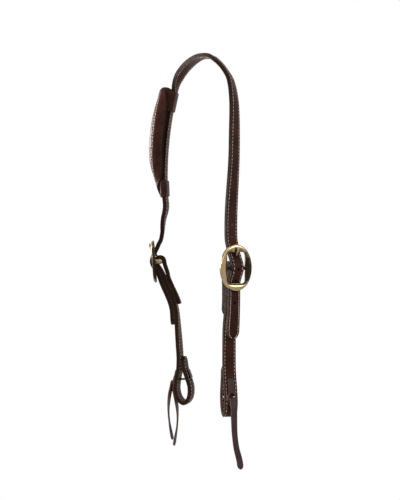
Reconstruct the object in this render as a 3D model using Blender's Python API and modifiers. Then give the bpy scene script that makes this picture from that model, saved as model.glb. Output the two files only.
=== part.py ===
"""Western headstall with a sliding one-ear piece, two centre-bar buckles and lace bit ties.

+Z is up, +X is towards the horse's near (left) side and the horse faces -Y. The origin is
the underside of the crown strap at its highest point, where it hangs on a peg or a poll.
All lengths are metres. Every strap is two plies of harness leather with a small gap
between them, and a strap is a route, a width direction along it and a thickness.
"""
import bpy
import bmesh
import numpy as np
from collections import namedtuple
from math import cos, pi, radians, sin
from mathutils import Matrix, Vector

# Leather and fits
strap_width = 0.0159
ply_thickness = 0.0025
seat_gap = 0.0003
running_gap = 0.0005
strap_thickness = 2 * ply_thickness + seat_gap
layer_pitch = strap_thickness + seat_gap
ply_offset = (ply_thickness + seat_gap) / 2
cut_overrun = 0.004
smoothing_reach = 0.0012

# Crown strap
near_bar_spread = 0.0918
off_bar_spread = 0.0926
near_bar_drop = 0.2627
off_bar_drop = 0.2563
near_bar_forward = 0.0143
off_bar_forward = 0.0129
near_facing = 3.0
off_facing = 240.0
billet_length = 0.085
tip_length = 0.0105
hole_radius = 0.0016
hole_pitch = 0.014
holes_towards_poll = 3
holes_towards_tip = 4

# Buckles
frame_height = 0.0556
frame_width = 0.0450
window_height = 0.0372
window_width = 0.0268
rim_thickness = 0.0040
frame_setout = 0.0082
window_corner = 0.0040
bar_radius = 0.00175
bar_gap = 0.0010
lug_thickness = 0.0030
lug_height = 0.0056
tongue_radius = 0.0011
tongue_tip_radius = 0.0015
tongue_eye_radius = 0.0038
tongue_eye_width = 0.0032
tongue_hole_radius = 0.0021
slot_side_gap = 0.0010
lug_inset = 0.0006
bar_end = 0.0004

# Cheek straps
near_cheek_drop = 0.1800
off_cheek_drop = 0.1925
off_lean = 4.0
near_turn = -17.0
off_turn = -17.5
off_drift = 0.0150
drift_start = 0.0120
drift_length = 0.0580
near_slack = 0.0045
slack_start = 0.0360
slack_length = 0.0460
turn_start = 0.030
turn_length = 0.085
turn_back_length = 0.0585
bit_loop_length = 0.0655
bit_loop_width = 0.0211

# Ear piece
ear_width = 0.0210
ear_tab_width = 0.0150
ear_standoff = 0.0126
ear_forward = 0.0170
ear_half_height = 0.0735
ear_top_hook_radius = 0.0047
ear_upper_loop_height = 0.0240
ear_lower_loop_height = 0.0160
ear_end_spare = 0.0040
ear_tab_spare = 0.0030
ear_loop_wall = 0.0013
ear_loop_corner = 0.0012
crown_bend_radius = 0.450
ear_turn = 52.0
ear_facing = 228.0
ear_lean = -5.4

# Lace ties
lace_width = 0.0072
lace_thickness = 0.0020
lace_gap = 0.0003
lace_eye_width = 0.0118
lace_eye_opening = 0.0076
lace_eye_length = 0.0130
lace_end = 0.0030
lace_bend_radius = 0.0023
lace_slot_spare = 0.0009

model_name = "western_headstall"

# Arch from the apex to each buckle: (across, forward, down, bend plane in degrees), as
# shares of that side's bar spread, forward place and drop.
near_arch_share = [
    (0.177, -0.072, 0.011, 43), (0.3011, -0.1302, 0.033, 41), (0.4491, -0.2613, 0.073, 46),
    (0.5775, -0.3757, 0.122, 43), (0.6478, -0.3589, 0.164, 38), (0.7192, -0.2573, 0.225, 31),
    (0.7627, -0.1449, 0.276, 27), (0.831, 0.1242, 0.387, 20), (0.8848, 0.3865, 0.518, 17),
    (0.9355, 0.8598, 0.755, 4), (0.9686, 0.984, 0.877, 3),
]
off_arch_share = [
    (0.1457, 0.0422, 0, 20), (0.3283, 0.0725, 0.0139, 9), (0.474, 0.1067, 0.0338, 10),
    (0.6135, 0.1595, 0.0637, 17), (0.7253, 0.1937, 0.1075, 38),
]
off_lower_share = [(0.9049, 0.9726, 0.7890, 53)]
apex_plane = 40.0
ear_place_share = (0.8566, 0.8698, 0.3980)
# Crown just above each buckle: (out, up) as shares of the bump and of the window's half.
near_above_share = [(-0.14, 1.05), (-0.43, 1.42)]
off_above_share = [(-0.15, 1.00), (-0.39, 1.22), (-0.78, 1.48), (-1.22, 2.18)]

# Bit loop from its top: (out, down) as shares of the loop's width and length.
near_loop_share = [
    (0.00, 0.06), (0.02, 0.14), (0.09, 0.29), (0.23, 0.46), (0.34, 0.64), (0.37, 0.78),
    (0.27, 0.91), (0.03, 0.98), (-0.23, 0.93), (-0.40, 0.78), (-0.43, 0.62), (-0.37, 0.46),
    (-0.29, 0.31), (-0.268, 0.16), (-0.268, 0.04),
]
off_loop_share = [
    (0.00, 0.06), (0.02, 0.14), (0.085, 0.305), (0.22, 0.46), (0.345, 0.67), (0.29, 0.825),
    (0.115, 0.93), (-0.14, 0.98), (-0.455, 0.89), (-0.583, 0.68), (-0.45, 0.47),
    (-0.31, 0.31), (-0.268, 0.17), (-0.268, 0.04),
]

# Hanging ends of the lace ties, as places in metres from the knot down.
near_tail_route = [
    (0.1002, -0.0184, -0.4209), (0.1022, -0.0189, -0.4251), (0.1035, -0.0191, -0.4321),
    (0.1044, -0.0193, -0.4450), (0.1047, -0.0187, -0.4603), (0.1058, -0.0168, -0.4769),
    (0.1074, -0.0139, -0.4899), (0.1083, -0.0125, -0.5011),
]
off_long_tail_route = [
    (-0.0874, 0.0044, -0.4235), (-0.0862, 0.0054, -0.4307), (-0.0847, 0.0072, -0.4425),
    (-0.0844, 0.0088, -0.4571), (-0.0860, 0.0090, -0.4745), (-0.0880, 0.0075, -0.4892),
    (-0.0890, 0.0059, -0.5011),
]
off_short_tail_route = [
    (-0.0881, 0.0024, -0.4162), (-0.0872, 0.0009, -0.4226), (-0.0864, -0.0016, -0.4303),
    (-0.0862, -0.0034, -0.4421), (-0.0856, -0.0042, -0.4538), (-0.0846, -0.0035, -0.4669),
    (-0.0835, -0.0017, -0.4801), (-0.0823, 0.0005, -0.4926),
]
near_hole_shares = (0.31, 0.66)
off_hole_shares = (0.31, 0.50)

# Ear bow below its upper hook: (out, forward, height, turn, width) as shares of the
# standoff, the forward reach, the half height, the full turn and the extra width.
ear_bow_share = [
    (1.12, 0.45, 0.74, 0.72, 0.7), (1.06, 0.74, 0.50, 0.92, 1.0), (1.00, 0.94, 0.25, 1.0, 1.0),
    (0.96, 1.00, 0.00, 1.00, 1.0), (0.92, 0.90, -0.25, 0.98, 1.0), (0.85, 0.62, -0.45, 0.82, 0.9),
    (0.77, 0.26, -0.60, 0.45, 0.6), (0.68, 0.03, -0.71, 0.10, 0.2), (0.605, 0.00, -0.84, 0.0, -0.3),
    (0.600, 0.00, -0.92, 0.0, -0.8), (0.600, 0.00, -0.965, 0.0, -1.5),
]


# Ear's upper hook: (angle in degrees, forward, turn as shares of the forward reach and turn).
ear_top_hook_share = [(180, 0.0, 0.0), (135, 0.02, 0.03), (90, 0.06, 0.10), (45, 0.13, 0.24)]

Side = namedtuple("Side", "name drop above turn drift slack holes loop")
near_side = Side("near", near_cheek_drop, near_above_share, near_turn, 0.0, near_slack,
                 near_hole_shares, near_loop_share)
off_side = Side("off", off_cheek_drop, off_above_share, off_turn, off_drift, 0.0,
                off_hole_shares, off_loop_share)


def reset_scene():
    for item in list(bpy.data.objects):
        bpy.data.objects.remove(item, do_unlink=True)


def new_collection(name):
    made = bpy.data.collections.new(name)
    bpy.context.scene.collection.children.link(made)
    return made


def material(name, colour, roughness, metallic=0.0):
    made = bpy.data.materials.new(name)
    made.use_nodes = True
    shader = made.node_tree.nodes["Principled BSDF"]
    shader.inputs["Base Color"].default_value = (*colour, 1.0)
    shader.inputs["Roughness"].default_value = roughness
    shader.inputs["Metallic"].default_value = metallic
    made.diffuse_color = (*colour, 1.0)
    return made


def smooth_route(points, axes, steps=16):
    """Centripetal Catmull-Rom curve through points; the first axes columns are the place."""
    knots = np.array(points, dtype=float)
    knots = np.vstack([2 * knots[0] - knots[1], knots, 2 * knots[-1] - knots[-2]])
    span = np.sqrt(np.linalg.norm(np.diff(knots[:, :axes], axis=0), axis=1))
    run = []
    for index in range(1, len(knots) - 2):
        first, second, third = span[index - 1:index + 2]
        t0, t1, t2, t3 = 0.0, first, first + second, first + second + third
        t = np.linspace(t1, t2, steps, endpoint=False)[:, None]
        p0, p1, p2, p3 = knots[index - 1:index + 3]
        a1 = (t1 - t) / (t1 - t0) * p0 + (t - t0) / (t1 - t0) * p1
        a2 = (t2 - t) / (t2 - t1) * p1 + (t - t1) / (t2 - t1) * p2
        a3 = (t3 - t) / (t3 - t2) * p2 + (t - t2) / (t3 - t2) * p3
        b1 = (t2 - t) / (t2 - t0) * a1 + (t - t0) / (t2 - t0) * a2
        b2 = (t3 - t) / (t3 - t1) * a2 + (t - t1) / (t3 - t1) * a3
        run.append((t2 - t) / (t2 - t1) * b1 + (t - t1) / (t2 - t1) * b2)
    return np.vstack(run + [knots[-2:-1]])


def tangents(points):
    along = np.gradient(points, axis=0)
    return along / np.linalg.norm(along, axis=1)[:, None]


def lengths(points):
    return np.concatenate([[0.0], np.cumsum(np.linalg.norm(np.diff(points, axis=0), axis=1))])


def spaced(route, axes, step):
    """The same route with points at equal steps."""
    run = lengths(route[:, :axes])
    wanted = np.linspace(0.0, run[-1], int(np.ceil(run[-1] / step)) + 1)
    return np.stack([np.interp(wanted, run, column) for column in route.T], axis=1)


def relaxed(route, axes, reach):
    """Evens a route out over a short reach, with its ends held."""
    even = spaced(route, axes, reach / 3)
    shifts = np.arange(-9, 10)
    weights = np.exp(-0.5 * (shifts / 3) ** 2)
    before = 2 * even[0] - even[9:0:-1]
    after = 2 * even[-1] - even[-2:-11:-1]
    padded = np.vstack([before, even, after])
    return sum(weight * padded[9 + shift:9 + shift + len(even)]
               for weight, shift in zip(weights / weights.sum(), shifts))


def thinned(route, axes, step, bend):
    """Stations spaced by a step along the straights and by an angle round the bends."""
    along = tangents(route[:, :axes])
    turning = np.arccos(np.clip(np.sum(along[1:] * along[:-1], axis=1), -1.0, 1.0))
    cost = np.diff(lengths(route[:, :axes])) / step + turning / radians(bend)
    cost = np.concatenate([[0.0], np.cumsum(cost)])
    wanted = np.linspace(0.0, cost[-1], int(np.ceil(cost[-1])) + 1)
    return np.stack([np.interp(wanted, cost, column) for column in route.T], axis=1)


def strap_frames(places, widths):
    """Tangent, width and outward directions of a strap along its places."""
    along = tangents(places)
    across = widths - np.sum(widths * along, axis=1)[:, None] * along
    across /= np.linalg.norm(across, axis=1)[:, None]
    return along, across, np.cross(along, across)


def tip_rows(route, length):
    """Adds close stations at the end of a route, so that a rounded tip can be shaped."""
    run = lengths(route[:, :3])
    angles = np.radians([15, 30, 45, 62, 90])
    kept = run < run[-1] - length
    wanted = np.concatenate([run[kept], run[-1] - length * (1 - np.cos(angles[::-1]))])
    return np.stack([np.interp(wanted, run, column) for column in route.T], axis=1)


def tip_profile(route, length, ends):
    """Half width share at each station: an ellipse at the ends that are rounded."""
    run = lengths(route[:, :3])
    share = np.ones(len(run))
    for end in ends:
        left = run if end == "start" else run[-1] - run
        near = np.clip(left / length, 0.0, 1.0)
        share = np.minimum(share, np.sqrt(1 - (1 - near) ** 2) * 0.94 + 0.06)
    return share


def ply(name, places, across, outward, offset, half_widths, thickness, collection, look):
    """A bent leather ply: one closed slab laid along the strap's frames."""
    grid = bmesh.new()
    rings = []
    for station, place in enumerate(places):
        ring = []
        for side, face in ((-1, -1), (1, -1), (1, 1), (-1, 1)):
            corner = (place + across[station] * side * half_widths[station]
                      + outward[station] * (offset + face * thickness / 2))
            ring.append(grid.verts.new(corner))
        rings.append(ring)
    sides = across * half_widths[:, None]
    rising = np.linalg.norm(places[1:] + sides[1:] - places[:-1] + sides[:-1], axis=1)
    falling = np.linalg.norm(places[1:] - sides[1:] - places[:-1] - sides[:-1], axis=1)
    chords = tangents(places)[:-1]
    twist = np.abs(np.sum(np.cross(across[1:], across[:-1]) * chords, axis=1)) * half_widths[1:]
    flat = twist < seat_gap / 50
    for here, there, leaning, plain in zip(rings, rings[1:], rising < falling, flat):
        for index in range(4):
            following = (index + 1) % 4
            a, b, c, d = here[index], here[following], there[following], there[index]
            if index % 2 or plain:
                grid.faces.new((a, b, c, d))
            elif leaning == (index == 0):
                grid.faces.new((a, b, c))
                grid.faces.new((a, c, d))
            else:
                grid.faces.new((a, b, d))
                grid.faces.new((b, c, d))
    grid.faces.new(rings[0][::-1])
    grid.faces.new(rings[-1])
    mesh = bpy.data.meshes.new(name)
    grid.to_mesh(mesh)
    grid.free()
    made = bpy.data.objects.new(name, mesh)
    collection.objects.link(made)
    made.data.materials.append(look)
    return made


def cut(target, cutter):
    step = target.modifiers.new("cut " + cutter.name, "BOOLEAN")
    step.object = cutter
    step.operation = "DIFFERENCE"
    step.solver = "EXACT"


def join(target, other):
    step = target.modifiers.new("join " + other.name, "BOOLEAN")
    step.object = other
    step.operation = "UNION"
    step.solver = "EXACT"


def as_guide(item):
    item.hide_render = True
    item.display_type = "WIRE"


def place_in(item, frame):
    """Hangs an object on the empty whose axes its mesh is written in."""
    item.parent = frame


def bar_frame(name, place, facing, lean, collection):
    """An empty at a buckle bar: X out of the cheek, Y along the bar, Z up the strap."""
    turn = Matrix.Rotation(radians(facing), 4, "Z") @ Matrix.Rotation(radians(lean), 4, "Y")
    made = bpy.data.objects.new(name, None)
    made.empty_display_size = strap_width
    made.matrix_world = Matrix.Translation(Vector(place)) @ turn
    collection.objects.link(made)
    return made


def to_world(frame, points):
    matrix = np.array(frame.matrix_world)
    return points @ matrix[:3, :3].T + matrix[:3, 3]


def turned_direction(frame, vectors):
    return vectors @ np.array(frame.matrix_world)[:3, :3].T


fold_radius = bar_radius + bar_gap + strap_thickness / 2
bump_radius = fold_radius + layer_pitch
strap_base = frame_setout - rim_thickness / 2 - seat_gap - strap_thickness / 2
bump = bump_radius - strap_base
window_half = window_height / 2
bump_arc_angles = (-30, 0, 30)
flank_share = (0.33, 0.66)
fold_turn_share = [(1.07, 0.24), (1.28, 0.48), (1.48, 0.70), (1.61, 0.91)]


def eased(up, start, length):
    """0 above a height, 1 below another, with a smooth change between; heights count down."""
    share = np.clip((-up - start) / length, 0.0, 1.0)
    return share * share * (3 - 2 * share)


def billet_line(side):
    """Side view (out, up) of the crown's end: behind both rims and over the bar."""
    rows = [(strap_base, -share * billet_length) for share in (1.0, 0.8, 0.6, 0.42, 0.32)]
    rows.append((strap_base, -window_half * 1.03))
    rows.append((strap_base + bump * flank_share[0], -window_half * flank_share[1]))
    for angle in bump_arc_angles:
        rows.append((bump_radius * cos(radians(angle)), bump_radius * sin(radians(angle))))
    rows.append((strap_base + bump * flank_share[0], window_half * flank_share[1]))
    for out_share, up_share in side.above:
        rows.append((strap_base + bump * out_share, window_half * up_share))
    flat = smooth_route(rows, 2)
    flat[:, 0] -= side.drift * eased(flat[:, 1], drift_start, drift_length)
    return flat


def cheek_middle(side):
    """How far out a cheek strap hangs below its billet."""
    return strap_base - layer_pitch - side.drift - side.slack


def turned_places(side, flat):
    """Takes a side view (out, up) into the bar's frame, turned about the cheek strap."""
    pivot = cheek_middle(side)
    angle = radians(side.turn) * eased(flat[:, 1], turn_start, turn_length)
    reach = flat[:, 0] - pivot
    places = np.stack([pivot + reach * np.cos(angle), reach * np.sin(angle), flat[:, 1]], axis=1)
    widths = np.stack([-np.sin(angle), np.cos(angle), np.zeros(len(flat))], axis=1)
    return places, widths


def side_offset(flat, distance):
    """A side view moved sideways by a distance, positive to the left of its run."""
    along = tangents(flat)
    return flat + distance * np.stack([-along[:, 1], along[:, 0]], axis=1)


def loop_line(side):
    """Side view of the bit loop, from the strap's foot round to the return leg's tip."""
    top = -(side.drop - strap_thickness / 2 - bit_loop_length)
    middle = cheek_middle(side)
    return [(middle + out * bit_loop_width, top - down * bit_loop_length) for out, down in side.loop]


def cheek_line(side):
    """Side view of a cheek strap: turn-back, fold over the bar, front leg, bit loop."""
    billet = billet_line(side)
    low = billet[billet[:, 1] < 0][::-1]
    front = side_offset(low, -layer_pitch)
    back = side_offset(low, -2 * layer_pitch)
    for line in (front, back):
        line[:, 0] -= side.slack * eased(line[:, 1], slack_start, slack_length)
    clear = window_half * fold_turn_share[-1][1] * 1.12
    back = back[(back[:, 1] < -clear) & (back[:, 1] > -turn_back_length)][::-1]
    rows = [tuple(row) for row in spaced(back, 2, strap_thickness)]
    for out_share, down_share in fold_turn_share[::-1]:
        up = -window_half * down_share
        shift = side.drift * float(eased(np.array([up]), drift_start, drift_length)[0])
        rows.append((-fold_radius * out_share - shift, up))
    for angle in (180, 150, 120, 90, 60, 30):
        rows.append((fold_radius * cos(radians(angle)), fold_radius * sin(radians(angle))))
    loop = loop_line(side)
    front = spaced(front[front[:, 1] > loop[0][1] + strap_width], 2, strap_thickness)
    rows += [tuple(row) for row in front if row[1] < -fold_radius / 2]
    return relaxed(smooth_route(rows + loop, 2), 2, smoothing_reach)


def crown_route(near, off, ear):
    """The crown's places and width directions, from its near tip over the poll to its off tip."""
    near_places, near_widths = turned_places(near_side, billet_line(near_side)[::6])
    near_rows = np.hstack([to_world(near, near_places), -turned_direction(near, near_widths)])
    off_places, off_widths = turned_places(off_side, billet_line(off_side)[::6][::-1])
    off_rows = np.hstack([to_world(off, off_places), turned_direction(off, off_widths)])

    def arch_rows(shares, spread, forward, drop):
        rows = []
        for across, front, down, plane in shares:
            width = (cos(radians(plane - 90)), sin(radians(plane - 90)), 0.0)
            rise = strap_thickness / 2 - down * (drop + strap_thickness / 2)
            rows.append((across * spread, -front * forward, rise, *width))
        return np.array(rows)

    near_bar = (near_bar_spread, near_bar_forward, near_bar_drop)
    off_bar = (-off_bar_spread, off_bar_forward, off_bar_drop)
    near_arch = arch_rows(near_arch_share, *near_bar)[::-1]
    apex = arch_rows([(0, 0, 0, apex_plane)], *near_bar)
    off_arch = arch_rows(off_arch_share, *off_bar)
    off_lower = arch_rows(off_lower_share, *off_bar)
    heights = np.linspace(0.92, -1.14, 11) * ear_half_height
    bend = ear_places(np.stack([0 * heights, 0 * heights, heights], axis=1))
    widths = np.tile([0.0, 1.0, 0.0], (len(heights), 1))
    ear_rows = np.hstack([to_world(ear, bend), turned_direction(ear, widths)])
    rows = [near_rows, near_arch, apex, off_arch, ear_rows, off_lower, off_rows]
    return relaxed(smooth_route(np.vstack(rows), 3), 3, smoothing_reach)


def ear_places(rows):
    """(out, forward, height) from the crown's centre line into the bend centre's frame."""
    radius = crown_bend_radius + rows[:, 0]
    angle = rows[:, 2] / crown_bend_radius
    return np.stack([radius * np.cos(angle), rows[:, 1], radius * np.sin(angle)], axis=1)


def drill(name, spots, radius, depth, guides):
    """One cutter with a round punch at each spot, a place and an axis direction."""
    mesh = bpy.data.meshes.new(name)
    grid = bmesh.new()
    for place, axis in spots:
        turn = Vector((0, 0, 1)).rotation_difference(Vector(axis)).to_matrix().to_4x4()
        turn = turn @ Matrix.Rotation(radians(7), 4, "Z")
        bmesh.ops.create_cone(grid, cap_ends=True, segments=12, radius1=radius, radius2=radius,
                              depth=depth, matrix=Matrix.Translation(Vector(place)) @ turn)
    grid.to_mesh(mesh)
    grid.free()
    made = bpy.data.objects.new(name, mesh)
    guides.objects.link(made)
    as_guide(made)
    return made


def build_crown(near, off, ear, parts, guides, looks):
    """Crown strap: outer and lining ply, both tips rounded, a row of holes at both ends."""
    route = thinned(crown_route(near, off, ear), 3, 0.60 * strap_width, 12.0)
    route = tip_rows(tip_rows(route, tip_length)[::-1], tip_length)[::-1]
    places = route[:, :3]
    along, across, outward = strap_frames(places, route[:, 3:6])
    half = tip_profile(route, tip_length, ("start", "end")) * strap_width / 2
    plies = []
    for name, side, look in zip(("crown_outer_ply", "crown_lining_ply"), (1, -1), looks):
        plies.append(ply(name, places, across, outward, side * ply_offset, half, ply_thickness,
                         parts, look))

    run = lengths(places)
    spots = []
    piercings = []
    for side, frame, step in ((near_side, near, 1), (off_side, off, -1)):
        aim, way = tongue_piercing(side, frame)
        piercings.append((aim, way))
        middle = run[np.argmin(np.linalg.norm(places - aim, axis=1))]
        for number in range(-holes_towards_tip, holes_towards_poll + 1):
            if number == 0:
                continue
            at = middle + step * number * hole_pitch
            place = [np.interp(at, run, places[:, k]) for k in range(3)]
            axis = [np.interp(at, run, outward[:, k]) for k in range(3)]
            spots.append((place, axis))
    punch = drill("crown_punch", spots, hole_radius, strap_thickness + cut_overrun, guides)
    pierce = drill("tongue_punch", piercings, tongue_hole_radius, 3 * strap_thickness, guides)
    for item in plies:
        cut(item, punch)
        cut(item, pierce)
    return plies


def tongue_line():
    """Side view of a tongue: out of its eye, up through the crown and onto the top rim."""
    rest = frame_setout + rim_thickness / 2 + seat_gap + tongue_tip_radius
    eye = (tongue_eye_radius + bar_radius + bar_gap) / 2
    rows = [(eye * 0.38, eye * 0.925)]
    for out_share, up_share in ((0.46, 0.56), (0.76, 0.84), (0.93, 1.02), (1.0, 1.16), (1.0, 1.32)):
        rows.append((rest * out_share, window_half * up_share))
    return smooth_route(rows, 2)


def tongue_piercing(side, frame):
    """Where a tongue crosses the middle of the crown, and its direction there."""
    strap = billet_line(side)
    strap = strap[strap[:, 1] > 0]
    line = tongue_line()
    gaps = np.linalg.norm(strap[:, None] - line[None], axis=2)
    nearest = np.unravel_index(np.argmin(gaps), gaps.shape)[1]
    way = tangents(line)[nearest]
    aim = to_world(frame, np.array([[line[nearest][0], 0.0, line[nearest][1]]]))[0]
    return aim, turned_direction(frame, np.array([[way[0], 0.0, way[1]]]))[0]


def stretched_rod(name, radius, depth, axis, pull, segments=16):
    """A rod along an axis whose far side is pulled out, which makes a round-ended slot."""
    grid = bmesh.new()
    turn = Vector((0, 0, 1)).rotation_difference(Vector(axis)).to_matrix().to_4x4()
    bmesh.ops.create_cone(grid, cap_ends=True, segments=segments, radius1=radius, radius2=radius,
                          depth=depth, matrix=turn)
    for corner in grid.verts:
        if corner.co.dot(Vector(pull)) > radius * sum(component * component for component in pull):
            corner.co += Vector(pull)
    mesh = bpy.data.meshes.new(name)
    grid.to_mesh(mesh)
    grid.free()
    return bpy.data.objects.new(name, mesh)


def local_cutter(name, radius, depth, axis, pull, shift, frame, guides, pivot=0.0, turn=0.0):
    """A round-ended slot cutter in a bar's frame, turned with the cheek strap it cuts."""
    made = stretched_rod(name, radius, depth, axis, pull)
    spin = Matrix.Translation((pivot, 0, 0)) @ Matrix.Rotation(turn, 4, "Z")
    made.data.transform(spin @ Matrix.Translation(Vector(shift)))
    guides.objects.link(made)
    place_in(made, frame)
    as_guide(made)
    return made


def build_cheek(side, frame, parts, guides, looks):
    """A cheek strap: folded over the bar, down behind the billet and round the bit loop."""
    flat = thinned(cheek_line(side), 2, 0.75 * strap_width, 16.0)
    places, widths = turned_places(side, flat)
    rows = np.hstack([places, widths])
    rows = tip_rows(tip_rows(rows, tip_length)[::-1], tip_length)[::-1]
    places = rows[:, :3]
    along, across, outward = strap_frames(places, rows[:, 3:6])
    half = tip_profile(rows, tip_length, ("start", "end")) * strap_width / 2
    plies = []
    for name, way, look in zip(("outer_ply", "lining_ply"), (1, -1), looks):
        item = ply(f"{side.name}_cheek_{name}", places, across, outward, way * ply_offset, half,
                   ply_thickness, parts, look)
        place_in(item, frame)
        plies.append(item)

    slot_radius = tongue_eye_width / 2 + slot_side_gap
    slot_low = -tongue_eye_radius - 2 * running_gap
    crew = local_cutter(f"{side.name}_crew_slot", slot_radius, 6 * fold_radius, (1, 0, 0),
                        (0, 0, 2 * fold_radius), (0, 0, slot_low), frame, guides)
    slots = [crew]
    for name, share in zip(("upper", "lower"), side.holes):
        up = hole_height(side, share)
        turn = radians(side.turn) * float(eased(np.array([up]), turn_start, turn_length)[0])
        slots.append(local_cutter(
            f"{side.name}_{name}_tie_slot", lace_thickness / 2 + lace_slot_spare,
            4 * bit_loop_width, (1, 0, 0), (0, lace_width, 0), (0, -lace_width / 2, up), frame,
            guides, cheek_middle(side), turn))
    for item in plies:
        for slot in slots:
            cut(item, slot)
    return plies


def hole_height(side, share):
    """Height of a tie hole from its share of the bit loop's length."""
    return -(side.drop - strap_thickness / 2 - bit_loop_length) - share * bit_loop_length


def window_edge(angle):
    """A point on the rounded rectangular window, in the direction of an angle."""
    flat = np.array([cos(angle), sin(angle)])
    half = np.array([window_width / 2, window_height / 2])
    low, high = 0.0, 1.5 * frame_height
    for _ in range(30):
        reach = (low + high) / 2
        past = np.maximum(np.abs(flat) * reach - (half - window_corner), 0.0)
        inside = np.linalg.norm(past) < window_corner
        low, high = (reach, high) if inside else (low, reach)
    return flat * low


def build_buckle(side, frame, parts, guides, brass):
    """A centre-bar buckle: domed oval rim, two lugs that carry the bar behind it, a tongue."""
    section_share = [(1.0, -0.5), (0.97, 0.1), (0.80, 0.62), (0.45, 0.95), (0.0, 1.0),
                     (-0.5, 0.72), (-0.9, 0.36), (-1.0, 0.1), (-1.0, -1.0), (0.85, -1.0)]
    count = 48
    grid = bmesh.new()
    rings = []
    for index in range(count):
        angle = 2 * pi * (index + 0.5) / count
        inner = window_edge(angle)
        steep = 1 / np.hypot(cos(angle) / (frame_width / 2), sin(angle) / (frame_height / 2))
        outer = np.array([cos(angle), sin(angle)]) * steep
        ring = []
        for across, out in section_share:
            flat = inner + (outer - inner) * (1 + across) / 2
            ring.append(grid.verts.new((frame_setout + out * rim_thickness / 2, *flat)))
        rings.append(ring)
    size = len(section_share)
    for index in range(count):
        here, there = rings[index], rings[(index + 1) % count]
        for step in range(size):
            grid.faces.new((here[step], here[(step + 1) % size], there[(step + 1) % size],
                            there[step]))
    bmesh.ops.recalc_face_normals(grid, faces=grid.faces)
    mesh = bpy.data.meshes.new(f"{side.name}_buckle_frame")
    grid.to_mesh(mesh)
    grid.free()
    rim = bpy.data.objects.new(mesh.name, mesh)
    mesh.materials.append(brass)
    parts.objects.link(rim)
    place_in(rim, frame)
    lug_place = window_width / 2 + lug_inset + lug_thickness / 2
    for label, end in (("left", 1), ("right", -1)):
        lug = local_cutter(f"{side.name}_{label}_lug", lug_height / 2, lug_thickness, (0, 1, 0),
                           (frame_setout - lug_height / 2, 0, 0), (0, end * lug_place, 0), frame,
                           guides)
        join(rim, lug)
    reach = window_width / 2 + lug_inset + lug_thickness + bar_end
    bore = local_cutter(f"{side.name}_bar_bore", bar_radius + seat_gap, 2 * reach + cut_overrun,
                        (0, 1, 0), (0, 0, 0), (0, 0, 0), frame, guides)
    cut(rim, bore)
    bar = stretched_rod(f"{side.name}_buckle_bar", bar_radius, 2 * reach, (0, 1, 0), (0, 0, 0))
    bar.data.materials.append(brass)
    parts.objects.link(bar)
    place_in(bar, frame)
    for item in (rim, bar):
        item.data.shade_smooth()
        item.data.set_sharp_from_angle(angle=radians(50))
    build_tongue(side, frame, parts, guides, brass)


def build_tongue(side, frame, parts, guides, brass):
    """A tongue: an eye that turns on the bar and a shank that flares at its tip."""
    line = thinned(tongue_line(), 2, 2 * tongue_radius, 10.0)
    share = lengths(line) / lengths(line)[-1]
    curve = bpy.data.curves.new(f"{side.name}_tongue_shank", "CURVE")
    curve.dimensions = "3D"
    curve.bevel_depth = tongue_radius
    curve.bevel_resolution = 2
    curve.use_fill_caps = True
    spline = curve.splines.new("POLY")
    spline.points.add(len(line) - 1)
    flare = tongue_tip_radius / tongue_radius - 1
    for point, (out, up), along in zip(spline.points, line, share):
        point.co = (out, 0, up, 1)
        point.radius = 1 + flare * along
    path_item = bpy.data.objects.new(curve.name, curve)
    guides.objects.link(path_item)
    bpy.context.view_layer.update()
    evaluated = path_item.evaluated_get(bpy.context.evaluated_depsgraph_get())
    mesh = bpy.data.meshes.new_from_object(evaluated)
    bpy.data.objects.remove(path_item, do_unlink=True)
    grid = bmesh.new()
    grid.from_mesh(mesh)
    bmesh.ops.remove_doubles(grid, verts=grid.verts, dist=seat_gap / 10)
    bmesh.ops.recalc_face_normals(grid, faces=grid.faces)
    grid.to_mesh(mesh)
    grid.free()
    shank = bpy.data.objects.new(f"{side.name}_shank_guide", mesh)
    guides.objects.link(shank)
    place_in(shank, frame)
    as_guide(shank)
    tongue = stretched_rod(f"{side.name}_buckle_tongue", tongue_eye_radius, tongue_eye_width,
                           (0, 1, 0), (0, 0, 0), 20)
    tongue.data.materials.append(brass)
    parts.objects.link(tongue)
    place_in(tongue, frame)
    join(tongue, shank)
    bore = local_cutter(f"{side.name}_eye_bore", bar_radius + seat_gap, 2 * tongue_eye_width,
                        (0, 1, 0), (0, 0, 0), (0, 0, 0), frame, guides)
    cut(tongue, bore)
    tongue.data.shade_smooth()
    tongue.data.set_sharp_from_angle(angle=radians(50))


def ear_route():
    """Rows (out, forward, height, turn, half width, bow) from the upper tab to the lower end."""
    tab = layer_pitch
    extra = (ear_width - ear_tab_width) / 2
    half = ear_tab_width / 2
    tab_length = ear_upper_loop_height + ear_tab_spare
    top = ear_half_height - strap_thickness / 2 - ear_top_hook_radius
    rows = [(tab, 0, top - tab_length * share, 0, half, 0) for share in (1.0, 0.66, 0.33, 0.1)]
    for angle, front, turn in ear_top_hook_share:
        rows.append((tab + ear_top_hook_radius * (1 + cos(radians(angle))), front * ear_forward,
                     top + ear_top_hook_radius * sin(radians(angle)), turn * ear_turn, half, 0))
    rows.append((tab + 2 * ear_top_hook_radius, 0.22 * ear_forward, top, 0.42 * ear_turn,
                 half + 0.25 * extra, 1))
    for out, front, height, turn, wide in ear_bow_share:
        rows.append((out * ear_standoff, front * ear_forward, height * ear_half_height,
                     turn * ear_turn, half + wide * extra, 1))
    return relaxed(smooth_route(rows, 3), 3, smoothing_reach / 2), top


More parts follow.
